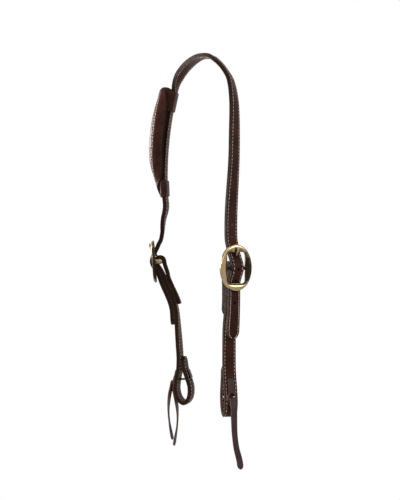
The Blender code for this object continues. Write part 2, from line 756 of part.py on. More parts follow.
def build_ear(frame, parts, looks):
    """Sliding ear piece: a two-ply bow, hooked under one sleeve and sewn onto the other."""
    dense, top = ear_route()
    route = thinned(dense, 3, 0.75 * strap_width, 16.0)
    places = ear_places(route[:, :3])
    angle = np.radians(route[:, 3])
    widths = np.stack([-np.sin(angle), np.cos(angle), 0 * angle], axis=1)
    along, across, outward = strap_frames(places, widths)
    item = ply("ear_outer_ply", places, across, outward, ply_offset, route[:, 4], ply_thickness,
               parts, looks[0])
    place_in(item, frame)
    bow = route[:, 5] > 0.99
    item = ply("ear_lining_ply", places[bow], across[bow], outward[bow], -ply_offset,
               route[bow, 4], ply_thickness, parts, looks[1])
    place_in(item, frame)
    over_tab = strap_thickness / 2 + seat_gap + ply_thickness
    build_ear_loop("ear_upper_loop", top - ear_upper_loop_height, top, over_tab, frame, parts,
                   looks[0])
    low = -ear_half_height + ear_end_spare
    build_ear_loop("ear_lower_loop", low, low + ear_lower_loop_height, strap_thickness / 2, frame,
                   parts, looks[0])


def build_ear_loop(name, start, end, held, frame, parts, look):
    """A leather sleeve round the crown and one ear tab, curved like the crown it slides on."""
    wall = ear_loop_wall / 2
    inner = -(strap_thickness / 2 + running_gap + wall)
    outer = held + running_gap + wall
    side = strap_width / 2 + running_gap + wall
    corners = []
    for out, front, base in ((outer, side, 0), (inner, side, 90), (inner, -side, 180),
                             (outer, -side, 270)):
        turn = ear_loop_corner
        for angle in (0, 45, 90):
            heading = radians(base + angle)
            centre = (out - turn * (1 if out > 0 else -1), front - turn * (1 if front > 0 else -1))
            corners.append((centre[0] + turn * cos(heading), centre[1] + turn * sin(heading)))
    corners.append(corners[0])
    rows = 4
    grid = bmesh.new()
    bmesh.ops.create_grid(grid, x_segments=len(corners) - 1, y_segments=rows, size=1.0)
    for corner in grid.verts:
        out, front = corners[round((corner.co.x + 1) / 2 * (len(corners) - 1))]
        height = start + (end - start) * (corner.co.y + 1) / 2
        corner.co = Vector(ear_places(np.array([[out, front, height]]))[0])
    bmesh.ops.remove_doubles(grid, verts=grid.verts, dist=seat_gap / 10)
    bmesh.ops.recalc_face_normals(grid, faces=grid.faces)
    mesh = bpy.data.meshes.new(name)
    grid.to_mesh(mesh)
    grid.free()
    made = bpy.data.objects.new(name, mesh)
    mesh.materials.append(look)
    parts.objects.link(made)
    place_in(made, frame)
    shell = made.modifiers.new("wall", "SOLIDIFY")
    shell.thickness = ear_loop_wall
    shell.offset = 0.0
    shell.use_even_offset = True
    return made


def tie_line(side):
    """Side view of a lace tie: eye end, up the face, in, down behind, out through the eye."""
    cheek = smooth_route(cheek_line(side)[::4], 2)
    bottom = int(np.argmin(cheek[:, 1]))
    start = int(np.argmax(cheek[:, 1]))
    front = cheek[start:bottom]
    back = cheek[bottom:][::-1]
    step = strap_thickness / 2 + lace_gap + lace_thickness / 2
    face = side_offset(front, step)[::-1]
    rear = side_offset(back, -step)
    upper, lower = [hole_height(side, share) for share in side.holes]
    low_end = lower - lace_eye_length / 2 - lace_end
    bend = lace_bend_radius

    def out_at(line, height):
        order = np.argsort(line[:, 1])
        return float(np.interp(height, line[order, 1], line[order, 0]))

    rows = [(out_at(face, height), height)
            for height in np.linspace(low_end, upper - bend, 9)]
    x = rows[-1][0]
    rows.append((x - bend * (1 - cos(radians(45))), upper - bend * (1 - sin(radians(45)))))
    rows.append((x - bend, upper))
    y = out_at(rear, upper - bend)
    rows.append(((x - bend + y + bend) / 2, upper))
    rows.append((y + bend, upper))
    rows.append((y + bend * (1 - cos(radians(45))), upper - bend * (1 - sin(radians(45)))))
    for height in np.linspace(upper - bend, lower + bend, 4):
        rows.append((out_at(rear, height), height))
    y = rows[-1][0]
    rows.append((y + bend * (1 - cos(radians(45))), lower + bend * (1 - sin(radians(45)))))
    rows.append((y + bend, lower))
    exit_out = out_at(face, lower) + lace_thickness * 0.9
    rows += [(y + bend + (exit_out - y - bend) * share, lower) for share in (0.25, 0.5, 0.75, 1.0)]
    rows.append((exit_out + bend * sin(radians(45)), lower - bend * (1 - cos(radians(45)))))
    rows.append((exit_out + bend, lower - bend))
    return smooth_route(rows, 2), lower


def build_tie(side, frame, parts, look):
    """A lace tie with a slit eye that its own end passes through."""
    dense, lower = tie_line(side)
    flat = thinned(dense, 2, 0.5 * lace_width, 24.0)
    places, widths = turned_places(side, flat)
    along, across, outward = strap_frames(places, widths)
    run = lengths(places)
    high = hole_height(side, side.holes[0]) - lace_bend_radius
    upward = np.arange(len(flat)) < np.argmax(flat[:, 1] > high)
    centre = np.interp(lower, flat[upward, 1], run[upward])
    near = np.clip(1 - ((run - centre) / (lace_eye_length / 2)) ** 2, 0, 1)
    near[~upward] = 0
    opening = lace_eye_opening / 2 * np.sqrt(near)
    rim = (lace_eye_width - lace_eye_opening) / 2
    outer = np.maximum(lace_width / 2, opening + rim * (near > 0))
    inside = near > 0
    inner = np.where(inside, np.maximum(opening, lace_gap), lace_width / 6)

    name = f"{side.name}_tie_lace"
    grid = bmesh.new()
    bmesh.ops.create_grid(grid, x_segments=3, y_segments=len(places) - 1, size=1.0)
    gaps = []
    for face in grid.faces:
        middle = face.calc_center_median()
        station = (middle.y + 1) / 2 * (len(places) - 1)
        if abs(middle.x) < 0.2 and inside[int(station)] and inside[int(station) + 1]:
            gaps.append(face)
    for corner in grid.verts:
        station = round((corner.co.y + 1) / 2 * (len(places) - 1))
        reach = outer if abs(corner.co.x) > 0.5 else inner
        way = 1 if corner.co.x > 0 else -1
        corner.co = Vector(places[station] + across[station] * way * reach[station])
    bmesh.ops.delete(grid, geom=gaps, context="FACES")
    mesh = bpy.data.meshes.new(name)
    grid.to_mesh(mesh)
    grid.free()
    made = bpy.data.objects.new(name, mesh)
    mesh.materials.append(look)
    parts.objects.link(made)
    place_in(made, frame)
    wall = made.modifiers.new("thickness", "SOLIDIFY")
    wall.thickness = lace_thickness
    wall.offset = 0.0
    wall.use_even_offset = True


def build_tail(name, frame, points, facing, parts, look):
    """A hanging end of lace: a flat strip along its places, with a cut tip."""
    world = thinned(relaxed(smooth_route(points, 3, 8), 3, smoothing_reach), 3, lace_width, 12.0)
    matrix = np.array(frame.matrix_world.inverted())
    places = world @ matrix[:3, :3].T + matrix[:3, 3]
    wide = np.array([-sin(radians(facing)), cos(radians(facing)), 0.0]) @ matrix[:3, :3].T
    along, across, outward = strap_frames(places, np.tile(wide, (len(places), 1)))
    half = tip_profile(world, lace_width, ("end",)) * lace_width / 2
    item = ply(name, places, across, outward, 0.0, half, lace_thickness, parts, look)
    place_in(item, frame)


def main():
    reset_scene()
    parts = new_collection(model_name)
    guides = new_collection("cutters")
    leathers = (material("harness_leather", (0.045, 0.021, 0.018), 0.42),
                material("lining_leather", (0.058, 0.032, 0.024), 0.55))
    lace = material("latigo_lace", (0.055, 0.022, 0.018), 0.5)
    brass = material("polished_brass", (0.62, 0.47, 0.27), 0.22, 1.0)

    near = bar_frame("near_bar_axis", (near_bar_spread, -near_bar_forward, -near_bar_drop),
                     near_facing, 0.0, parts)
    off = bar_frame("off_bar_axis", (-off_bar_spread, -off_bar_forward, -off_bar_drop),
                    off_facing, off_lean, parts)
    across, front, down = ear_place_share
    ear = bar_frame("ear_slide_axis", (0, 0, 0), ear_facing, ear_lean, parts)
    centre = Vector((-across * off_bar_spread, -front * off_bar_forward, -down * off_bar_drop))
    ear.matrix_world.translation = centre - crown_bend_radius * ear.matrix_world.col[0].to_3d()
    bpy.context.view_layer.update()

    build_crown(near, off, ear, parts, guides, leathers)
    build_ear(ear, parts, leathers)
    for side, frame in ((near_side, near), (off_side, off)):
        build_cheek(side, frame, parts, guides, leathers)
        build_buckle(side, frame, parts, guides, brass)
        build_tie(side, frame, parts, lace)
    build_tail("near_tie_tail", near, near_tail_route, near_facing + near_turn, parts, lace)
    build_tail("off_tie_long_tail", off, off_long_tail_route, off_facing + off_turn, parts, lace)
    build_tail("off_tie_short_tail", off, off_short_tail_route, off_facing + off_turn, parts, lace)


main()
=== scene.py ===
from math import cos, pi, radians, sin

import bpy
import numpy as np
from mathutils import Matrix, Vector


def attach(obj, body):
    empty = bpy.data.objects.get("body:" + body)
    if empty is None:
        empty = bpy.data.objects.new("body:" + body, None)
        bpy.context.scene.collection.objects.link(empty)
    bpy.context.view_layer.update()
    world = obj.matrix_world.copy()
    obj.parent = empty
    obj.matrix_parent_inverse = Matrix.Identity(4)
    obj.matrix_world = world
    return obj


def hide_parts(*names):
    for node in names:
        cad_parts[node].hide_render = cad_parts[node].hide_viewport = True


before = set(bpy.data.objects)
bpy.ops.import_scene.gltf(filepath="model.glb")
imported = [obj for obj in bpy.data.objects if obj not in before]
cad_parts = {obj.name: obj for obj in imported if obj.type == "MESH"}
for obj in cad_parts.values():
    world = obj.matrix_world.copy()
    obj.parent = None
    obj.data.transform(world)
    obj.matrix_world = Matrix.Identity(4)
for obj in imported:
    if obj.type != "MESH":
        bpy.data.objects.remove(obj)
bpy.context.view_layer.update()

# The horse faces -Y with its near side at +X, and the origin is under the crown at its highest
# point. A strap is a run along a route, a side across it and an out away from its middle.
# All lengths are metres.

view = {
    "azimuth": 60.0,
    "distance": 1.6,
    "height": -0.24166,
    "aside": -0.00492,
    "lens": 91.37,
}


def makeCamera():
    # Level camera at view["azimuth"], a little below the middle of the straps.
    angle = radians(view["azimuth"])
    towards = Vector((sin(angle), -cos(angle), 0.0))
    right = Vector((cos(angle), sin(angle), 0.0))
    camera = bpy.data.objects.new("camera", bpy.data.cameras.new("camera"))
    camera.data.lens = view["lens"]
    camera.location = view["distance"] * towards + view["aside"] * right
    camera.location.z = view["height"]
    camera.rotation_euler = (-towards).to_track_quat("-Z", "Y").to_euler()
    bpy.context.scene.collection.objects.link(camera)
    bpy.context.scene.camera = camera


def between(t, start, end, first, second):
    return (end - t) / (end - start) * first + (t - start) / (end - start) * second


def smoothRoute(points, axes, steps=16):
    # Centripetal Catmull-Rom curve through points; the first axes columns are the place.
    knots = np.array(points, dtype=float)
    knots = np.vstack([2 * knots[0] - knots[1], knots, 2 * knots[-1] - knots[-2]])
    span = np.sqrt(np.linalg.norm(np.diff(knots[:, :axes], axis=0), axis=1))
    run = []
    for index in range(1, len(knots) - 2):
        first, second, third = span[index - 1:index + 2]
        t0, t1, t2, t3 = 0.0, first, first + second, first + second + third
        t = np.linspace(t1, t2, steps, endpoint=False)[:, None]
        p0, p1, p2, p3 = knots[index - 1:index + 3]
        a1, a2, a3 = (between(t, *part) for part in
                      ((t0, t1, p0, p1), (t1, t2, p1, p2), (t2, t3, p2, p3)))
        b1, b2 = between(t, t0, t2, a1, a2), between(t, t1, t3, a2, a3)
        run.append(between(t, t1, t2, b1, b2))
    return np.vstack(run + [knots[-2:-1]])


def tangentsOf(points):
    along = np.gradient(points, axis=0)
    return along / np.linalg.norm(along, axis=1)[:, None]


def lengthsOf(points):
    steps = np.linalg.norm(np.diff(points, axis=0), axis=1)
    return np.concatenate([[0.0], np.cumsum(steps)])


def readAt(where, run, columns):
    # Each column read at the places where, along run.
    return np.stack([np.interp(where, run, column) for column in columns.T], axis=-1)


def evenSteps(route, axes, step):
    run = lengthsOf(route[:, :axes])
    return readAt(np.linspace(0.0, run[-1], int(np.ceil(run[-1] / step)) + 1), run, route)


def relaxed(route, axes, reach, spread=3):
    # Gaussian average over a short reach of so many steps, with the ends held.
    even = evenSteps(route, axes, reach / spread)
    far = 3 * spread
    shifts = np.arange(-far, far + 1)
    weights = np.exp(-0.5 * (shifts / spread) ** 2)
    before = 2 * even[0] - even[far:0:-1]
    after = 2 * even[-1] - even[-2:-far - 2:-1]
    padded = np.vstack([before, even, after])
    return sum(weight * padded[far + shift:far + shift + len(even)]
               for weight, shift in zip(weights / weights.sum(), shifts))


def thinned(route, axes, step, bend):
    # Stations spaced by a step along the straights and by an angle round the bends.
    along = tangentsOf(route[:, :axes])
    turning = np.arccos(np.clip(np.sum(along[1:] * along[:-1], axis=1), -1.0, 1.0))
    cost = np.diff(lengthsOf(route[:, :axes])) / step + turning / radians(bend)
    cost = np.concatenate([[0.0], np.cumsum(cost)])
    return readAt(np.linspace(0.0, cost[-1], int(np.ceil(cost[-1])) + 1), cost, route)


def strapFrames(places, widths):
    along = tangentsOf(places)
    across = widths - np.sum(widths * along, axis=1)[:, None] * along
    across /= np.linalg.norm(across, axis=1)[:, None]
    return along, across, np.cross(along, across)


def placed(axes, points):
    return points @ axes[:3, :3].T + axes[:3, 3]


def turned(axes, vectors):
    return vectors @ axes[:3, :3].T


def widthWays(angle):
    # The side of a strip that stands turned by each angle about the upright.
    return np.stack([-np.sin(angle), np.cos(angle), 0 * angle], axis=1)


class Strap:
    # A bent strip. at() gives place + side * across + out * outward, each read at the run.
    def __init__(self, rows, halves=None):
        self.places = rows[:, :3]
        self.run = lengthsOf(self.places)
        self.along, self.across, self.outward = strapFrames(self.places, rows[:, 3:6])
        self.halves = halves

    def at(self, run, side, out):
        run, side, out = np.broadcast_arrays(run, side, out)
        return (readAt(run, self.run, self.places)
                + side[..., None] * readAt(run, self.run, self.across)
                + out[..., None] * readAt(run, self.run, self.outward))


creaseAngle = 38.0


def makePiece(name, points, faces, finishes, values=None, sharp=creaseAngle):
    # Points and faces into a smooth mesh; values are named numbers, one per point.
    mesh = bpy.data.meshes.new(name)
    mesh.from_pydata(np.asarray(points).reshape(-1, 3), [], faces)
    for finish in finishes:
        mesh.materials.append(finish)
    for label, numbers in (values or {}).items():
        layer = mesh.attributes.new(label, "FLOAT", "POINT")
        layer.data.foreach_set("value", np.ascontiguousarray(numbers, dtype=np.float32).ravel())
    mesh.shade_smooth()
    mesh.set_sharp_from_angle(angle=radians(sharp))
    made = bpy.data.objects.new(name, mesh)
    bpy.context.scene.collection.objects.link(made)
    return made


def fitted(piece, body, node=None):
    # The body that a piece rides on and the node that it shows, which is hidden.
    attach(piece, body)
    if node:
        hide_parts(node)


def ringFaces(count, size, closed=False, first=0):
    # Quads between count rings of size corners; open runs get a face on each end.
    corner = first + np.arange(count * size).reshape(count, size)
    beside = np.roll(corner, -1, axis=1)
    ahead, aheadBeside = np.roll(corner, -1, axis=0), np.roll(beside, -1, axis=0)
    quads = np.stack([corner, beside, aheadBeside, ahead], axis=-1)
    if closed:
        return quads.reshape(-1, 4).tolist()
    ends = [corner[0][::-1].tolist(), corner[-1].tolist()]
    return quads[:-1].reshape(-1, 4).tolist() + ends


def joinedRings(parts):
    # Several grids of rings, each (points, closed), as one list of points and faces.
    points, faces, first = [], [], 0
    for grid, closed in parts:
        faces += ringFaces(*grid.shape[:2], closed, first)
        points.append(grid.reshape(-1, 3))
        first += grid.shape[0] * grid.shape[1]
    return np.vstack(points), faces


def cutAway(piece, points, faces):
    # Takes a closed cutter out of a piece; the cut faces get the piece's second finish.
    cutter = makePiece("cutter", points, faces, list(piece.data.materials))
    cutter.data.polygons.foreach_set("material_index", np.ones(len(faces), dtype=np.int32))
    step = piece.modifiers.new("cut", "BOOLEAN")
    step.operation = "DIFFERENCE"
    step.solver = "EXACT"
    step.object = cutter
    bpy.context.view_layer.update()
    shown = piece.evaluated_get(bpy.context.evaluated_depsgraph_get())
    mesh = bpy.data.meshes.new_from_object(shown)
    piece.modifiers.clear()
    whole, piece.data = piece.data, mesh
    bpy.data.meshes.remove(whole)
    bpy.data.objects.remove(cutter)
    mesh.set_sharp_from_angle(angle=radians(creaseAngle))


def punches(spots, outline, depth):
    # A prism of one outline at each spot (place, sideways, upways, axis), in one cutter.
    prisms = []
    for place, first, second, axis in spots:
        flat = place + outline[:, :1] * first + outline[:, 1:] * second
        prisms.append((np.stack([flat - axis * depth / 2, flat + axis * depth / 2]), False))
    return joinedRings(prisms)


def fullTurn(count):
    return np.linspace(0, 2 * pi, count, endpoint=False)


def quarterTurn(count):
    return np.radians(np.linspace(0, 90, count))


def headings(angle):
    return np.stack([np.cos(angle), np.sin(angle)], axis=1)


def roundOutline(radius, count=20):
    return radius * headings(fullTurn(count))


def squared(angle, power):
    # Rounded square: cosine and sine with their sizes raised to a power below 1.
    flat = np.stack([np.cos(angle), np.sin(angle)])
    return np.sign(flat) * np.abs(flat) ** power


def slotOutline(radius, length, count=24):
    # Outline of a slot: a circle whose far half is moved on by the length.
    flat = roundOutline(radius, count) @ np.array([[0.0, 1.0], [-1.0, 0.0]])
    flat = np.roll(flat, -1, axis=0)
    flat[:, 1] += np.where(flat[:, 1] > radius / 1e3, length, 0.0)
    return flat


class Wire:
    # An output socket. + - * and ** with a number or another Wire add Math nodes.
    def __init__(self, finish, socket):
        self.finish, self.socket = finish, socket

    def worked(self, operation, first, second):
        return self.finish.node("Math", {"operation": operation}, {0: first, 1: second})

    def __add__(self, other):
        return self.worked("ADD", self, other)

    def __radd__(self, other):
        return self.worked("ADD", other, self)

    def __sub__(self, other):
        return self.worked("SUBTRACT", self, other)

    def __rsub__(self, other):
        return self.worked("SUBTRACT", other, self)

    def __mul__(self, other):
        return self.worked("MULTIPLY", self, other)

    def __rmul__(self, other):
        return self.worked("MULTIPLY", other, self)

    def __pow__(self, other):
        return self.worked("POWER", self, other)


class Finish:
    # A node tree being built. node() takes a node's type, its settings, then the values or
    # links of its sockets, and gives back one of its outputs.
    def __init__(self, owner):
        owner.use_nodes = True
        self.tree = owner.node_tree
        self.tree.nodes.clear()

    def node(self, kind, settings=None, values=None, output=0):
        made = self.tree.nodes.new("ShaderNode" + kind)
        for key, value in (settings or {}).items():
            setattr(made, key, value)
        for key, value in (values or {}).items():
            if isinstance(value, Wire):
                self.tree.links.new(value.socket, made.inputs[key])
            else:
                made.inputs[key].default_value = value
        return Wire(self, made.outputs[output]) if made.outputs else None

    def objectPlace(self):
        return self.node("TexCoord", output=3)

    def number(self, label):
        return self.node("Attribute", {"attribute_name": label}, output=2)

    def noise(self, place, scale, detail=2.0, roughness=0.5, stretch=None):
        if stretch:
            place = self.node("Mapping", values={"Vector": place, "Scale": stretch})
        return self.node("TexNoise", values={"Vector": place, "Scale": scale, "Detail": detail,
                                             "Roughness": roughness})

    def cells(self, place, scale):
        return self.node("TexVoronoi", {"feature": "F1"}, {"Vector": place, "Scale": scale})

    def ranged(self, wire, low, high, newLow=0.0, newHigh=1.0):
        # Smooth step from newLow at low to newHigh at high.
        return self.node("MapRange", {"interpolation_type": "SMOOTHSTEP"},
                         {"Value": wire, "From Min": low, "From Max": high,
                          "To Min": newLow, "To Max": newHigh})

    def mixed(self, share, first, second):
        def colour(value):
            return value if isinstance(value, Wire) else (*value, 1.0)
        return self.node("Mix", {"data_type": "RGBA"},
                         {0: share, 6: colour(first), 7: colour(second)}, output=2)

    def surface(self, colour, roughness, height, depth, strength=1.0, **fixed):
        # Principled shader with a bump of that height; fixed are its own sockets' values.
        normal = self.node("Bump", values={"Height": height, "Distance": depth,
                                           "Strength": strength})
        values = {"Base Color": colour, "Roughness": roughness, "Normal": normal}
        for key, value in fixed.items():
            values[key.replace("_", " ")] = value
        shader = self.node("BsdfPrincipled", values=values)
        self.node("OutputMaterial", values={"Surface": shader})


def newMaterial(name):
    made = bpy.data.materials.new(name)
    return made, Finish(made)


harness = {
    "outer": {"face": (0.042, 0.0125, 0.0080), "deep": (0.016, 0.0045, 0.0032),
              "worn": (0.060, 0.026, 0.018), "edge": (0.017, 0.0095, 0.0048)},
    "lining": {"face": (0.058, 0.021, 0.0135), "deep": (0.026, 0.0085, 0.0060),
               "worn": (0.080, 0.036, 0.024), "edge": (0.016, 0.0090, 0.0045)},
    # noises here and below are (scale, detail, roughness, stretch)
    "broad": (38.0, 4.0, 0.62), "blotch": (210.0, 3.0, 0.6), "fine": (3400.0, 2.0),
    "fibres": (900.0, 3.0, 0.7, (1.0, 1.0, 3.2)),
    "grainSize": 1150.0, "grainDepth": 0.00011, "gloss": 0.36, "specular": 0.055,
}


def harnessFinish(name, tint):
    # Colour = dyed face, mottled by broad noise, darker in pores and stitch grooves, worn
    # lighter at the shoulders, burnished along the edge. Height = pores + fine grain + fibres.
    made, work = newMaterial(name)
    place = work.objectPlace()
    edge = work.number("edge")
    groove = work.number("groove")
    broad = work.noise(place, *harness["broad"])
    blotch = work.noise(place, *harness["blotch"])
    pores = work.cells(place, harness["grainSize"])
    fine = work.noise(place, *harness["fine"])
    fibres = work.noise(place, *harness["fibres"])
    dyed = work.mixed(work.ranged(broad, 0.30, 0.72), tint["deep"], tint["face"])
    dyed = work.mixed(work.ranged(blotch, 0.42, 0.78, 0.0, 0.30), dyed, tint["worn"])
    dyed = work.mixed(work.ranged(pores, 0.62, 0.95, 0.0, 0.35), dyed, tint["deep"])
    dyed = work.mixed(groove * 0.62, dyed, tint["deep"])
    shoulder = work.ranged(edge, 0.05, 0.40) * work.ranged(blotch, 0.35, 0.7, 0.25, 0.85)
    dyed = work.mixed(shoulder, dyed, tint["worn"])
    wall = work.mixed(work.ranged(fibres, 0.30, 0.75), tint["edge"],
                      tuple(0.42 * part for part in tint["edge"]))
    colour = work.mixed(work.ranged(edge, 0.55, 0.9), dyed, wall)
    roughness = (harness["gloss"] + 0.16 * work.ranged(blotch, 0.35, 0.7)
                 + 0.10 * groove + 0.28 * edge)
    height = 0.55 * pores ** 0.6 + 0.22 * fine + 0.30 * fibres * edge + 0.35 * blotch
    work.surface(colour, roughness, height, harness["grainDepth"], 0.85,
                 Specular_IOR_Level=harness["specular"])
    return made


cutLeather = {"dark": (0.012, 0.004, 0.003), "light": (0.045, 0.016, 0.011), "depth": 0.00018,
              "fibres": (1700.0, 4.0, 0.7)}


def rawFinish():
    # Cut leather inside holes and slots: fibrous red-brown, matt.
    made, work = newMaterial("cut_leather")
    place = work.objectPlace()
    fibres = work.noise(place, *cutLeather["fibres"])
    colour = work.mixed(work.ranged(fibres, 0.3, 0.7), cutLeather["dark"], cutLeather["light"])
    work.surface(colour, 0.72 + 0.15 * fibres, fibres, cutLeather["depth"],
                 Specular_IOR_Level=0.15)
    return made


oiled = {
    "dark": (0.015, 0.0055, 0.0048), "face": (0.036, 0.013, 0.011),
    "crease": (0.075, 0.036, 0.030), "raw": (0.120, 0.043, 0.027), "depth": 0.00022,
    "broad": (60.0, 3.0, 0.6), "creases": (420.0, 4.0, 0.6, (1.0, 1.0, 0.35)),
    "fine": (2600.0, 2.0),
}


def laceFinish():
    # Oiled lace: dark red-brown face with long creases, raw reddish cut edges.
    made, work = newMaterial("oiled_lace")
    place = work.objectPlace()
    edge = work.number("edge")
    broad = work.noise(place, *oiled["broad"])
    creases = work.noise(place, *oiled["creases"])
    fine = work.noise(place, *oiled["fine"])
    colour = work.mixed(work.ranged(broad, 0.3, 0.7), oiled["dark"], oiled["face"])
    colour = work.mixed(work.ranged(creases, 0.5, 0.8, 0.0, 0.5), colour, oiled["crease"])
    colour = work.mixed(work.ranged(edge, 0.2, 1.0) * 0.85, colour, oiled["raw"])
    roughness = 0.34 + 0.2 * work.ranged(creases, 0.4, 0.7) + 0.15 * edge
    work.surface(colour, roughness, 0.8 * creases + 0.25 * fine, oiled["depth"], 0.9,
                 Specular_IOR_Level=0.28)
    return made


waxed = {"cream": (0.66, 0.55, 0.40), "soiled": (0.40, 0.29, 0.19), "dark": (0.26, 0.18, 0.12),
         "depth": 0.00016, "soil": (170.0, 3.0, 0.6), "twist": (2900.0, 2.0, 0.6)}


def threadFinish():
    # Waxed cream thread: pale, soiled by noise, with a fine twist.
    made, work = newMaterial("waxed_thread")
    place = work.objectPlace()
    soil = work.noise(place, *waxed["soil"])
    twist = work.noise(place, *waxed["twist"])
    colour = work.mixed(work.ranged(soil, 0.3, 0.75), waxed["cream"], waxed["soiled"])
    colour = work.mixed(work.ranged(twist, 0.5, 0.8, 0.0, 0.35), colour, waxed["dark"])
    work.surface(colour, 0.62 + 0.15 * twist, twist, waxed["depth"], Specular_IOR_Level=0.3)
    return made


brass = {
    "bright": (0.36, 0.262, 0.142), "tarnish_and_shade": (0.022, 0.0145, 0.0065), "depth": 0.00008,
    "cloud": (140.0, 4.0, 0.65), "scuffs": (1500.0, 3.0, 0.6, (1.0, 1.0, 0.2)),
    # patina values of the smaller parts
    "lug": 0.12, "bar": 0.15, "shank": 0.75, "eye": 0.6,
}


def brassFinish():
    # Polished brass: bright on the worn crests, tarnish colour where the patina value is high. That
    # value is patina in the hollows and, on the buckle frames, painted shade on one side.
    made, work = newMaterial("polished_brass_metal")
    place = work.objectPlace()
    patina_and_shade = work.number("patina_and_shade")
    cloud = work.noise(place, *brass["cloud"])
    scuffs = work.noise(place, *brass["scuffs"])
    # the patina value also holds painted shade on one side of each buckle frame, so this share
    # darkens there like tarnish
    tarnishAndShadeShare = work.ranged(patina_and_shade + 1.5 * (cloud - 0.42), 0.05, 0.80)
    colour = work.mixed(tarnishAndShadeShare, brass["bright"], brass["tarnish_and_shade"])
    roughness = 0.13 + 0.22 * tarnishAndShadeShare + 0.10 * work.ranged(scuffs, 0.5, 0.75)
    work.surface(colour, roughness, 0.7 * cloud + 0.3 * scuffs, brass["depth"], 0.6, Metallic=1.0)
    return made


# From here on come the sizes of straps, buckles, laces and ear piece, most of them as packed.
fits = {
    "strapWidth": 0.0159, "ply": 0.0025, "seatGap": 0.0003, "runningGap": 0.0005,
    "smoothing": 0.0012, "stationStep": 0.0014, "stationBend": 4.0, "tipLength": 0.0105,
    "tipLeast": 0.06,
}
strapThickness = 2 * fits["ply"] + fits["seatGap"]
layerPitch = strapThickness + fits["seatGap"]

buckle = {
    "height": 0.0556, "width": 0.0450,
    "windowHeight": 0.0372, "windowWidth": 0.0268, "windowCorner": 0.0040,
    "rim": 0.0040, "setout": 0.0082,
    "barRadius": 0.00175, "barGap": 0.0010,
    "lugThickness": 0.0030, "lugHeight": 0.0056, "lugInset": 0.0006, "barEnd": 0.0004,
    "tongueRadius": 0.0011, "tongueTip": 0.0015, "tongueStep": 0.0006, "tongueBend": 5.0,
    "eyeRadius": 0.0038, "eyeWidth": 0.0032, "tongueHole": 0.0021, "slotGap": 0.0010,
    "foldTurns": [(1.07, 0.24), (1.28, 0.48), (1.48, 0.70), (1.61, 0.91)],
    # (out, up) of a tongue: its start as shares of its eye, then of its rest and half window
    "tongueStart": (0.38, 0.925),
    "tongueWay": [(0.46, 0.56), (0.76, 0.84), (0.93, 1.02), (1.0, 1.16), (1.0, 1.32)],
}
windowHalf = buckle["windowHeight"] / 2
foldRadius = buckle["barRadius"] + buckle["barGap"] + strapThickness / 2
bumpRadius = foldRadius + layerPitch
strapBase = buckle["setout"] - buckle["rim"] / 2 - fits["seatGap"] - strapThickness / 2
bump = bumpRadius - strapBase

crown = {
    "billet": 0.085, "holeRadius": 0.0016, "holePitch": 0.014, "punchDepth": 0.012,
    "holesUp": 3, "holesDown": 4, "apexPlane": 40.0,
    # shares of the billet that lie flat, of the window at the rim and at the bump's feet
    "flat": [1.0, 0.8, 0.6, 0.42, 0.32], "behindRim": 1.03, "bumpFoot": (0.33, 0.66),
    # the near billet's thread is closer, but for a last part of its length
    "billetPitch": 0.0034, "billetSpare": 0.010,
    # (across, forward, down, bend plane) as shares of the bar's spread, forward and drop
    "nearArch": [
        (0.177, -0.072, 0.011, 43), (0.3011, -0.1302, 0.033, 41), (0.4491, -0.2613, 0.073, 46),
        (0.5775, -0.3757, 0.122, 43), (0.6478, -0.3589, 0.164, 38), (0.7192, -0.2573, 0.225, 31),
        (0.7627, -0.1449, 0.276, 27), (0.831, 0.1242, 0.387, 20), (0.8848, 0.3865, 0.518, 17),
        (0.9355, 0.8598, 0.755, 4), (0.9686, 0.984, 0.877, 3)],
    "offArch": [
        (0.1457, 0.0422, 0, 20), (0.3283, 0.0725, 0.0139, 9), (0.474, 0.1067, 0.0338, 10),
        (0.6135, 0.1595, 0.0637, 17), (0.7253, 0.1937, 0.1075, 38)],
    "offLower": [(0.9049, 0.9726, 0.7890, 53)],
}

cheek = {
    "turnBack": 0.0585, "backSpare": 1.12, "loopLength": 0.0655, "loopWidth": 0.0211,
    # (start, length) below the bar of what each side's strap does over a part of its way
    "turn": (0.030, 0.085), "drift": (0.0120, 0.0580), "slack": (0.0360, 0.0460),
}

lace = {
    "width": 0.0072, "thickness": 0.0020, "gap": 0.0003,
    "eyeWidth": 0.0118, "eyeOpening": 0.0076, "eyeLength": 0.0130,
    "end": 0.0030, "bend": 0.0023, "slotSpare": 0.0009,
    "corner": 0.0004, "worn": 0.00035, "tip": 0.8, "curl": 0.0007, "curls": 95.0,
    "step": 0.0011, "stepBend": 8.0, "fullHalf": 0.0020,
    "tailStep": 0.0010, "tailBend": 4.0, "pathStep": 0.004, "edgeFade": 0.75,
    "exitShare": 0.9, "faceShare": 0.45,
    # (inward, up) of the first places of a hanging end, inside the eye, in bends
    "lead": [(1.1, 1.0), (0.30, 0.72)],
    # edge value across the eye's border, raw at the slit
    "rawAcross": [0.45, 0.7, 1.0, 1.0, 0.7, 0.45],
}

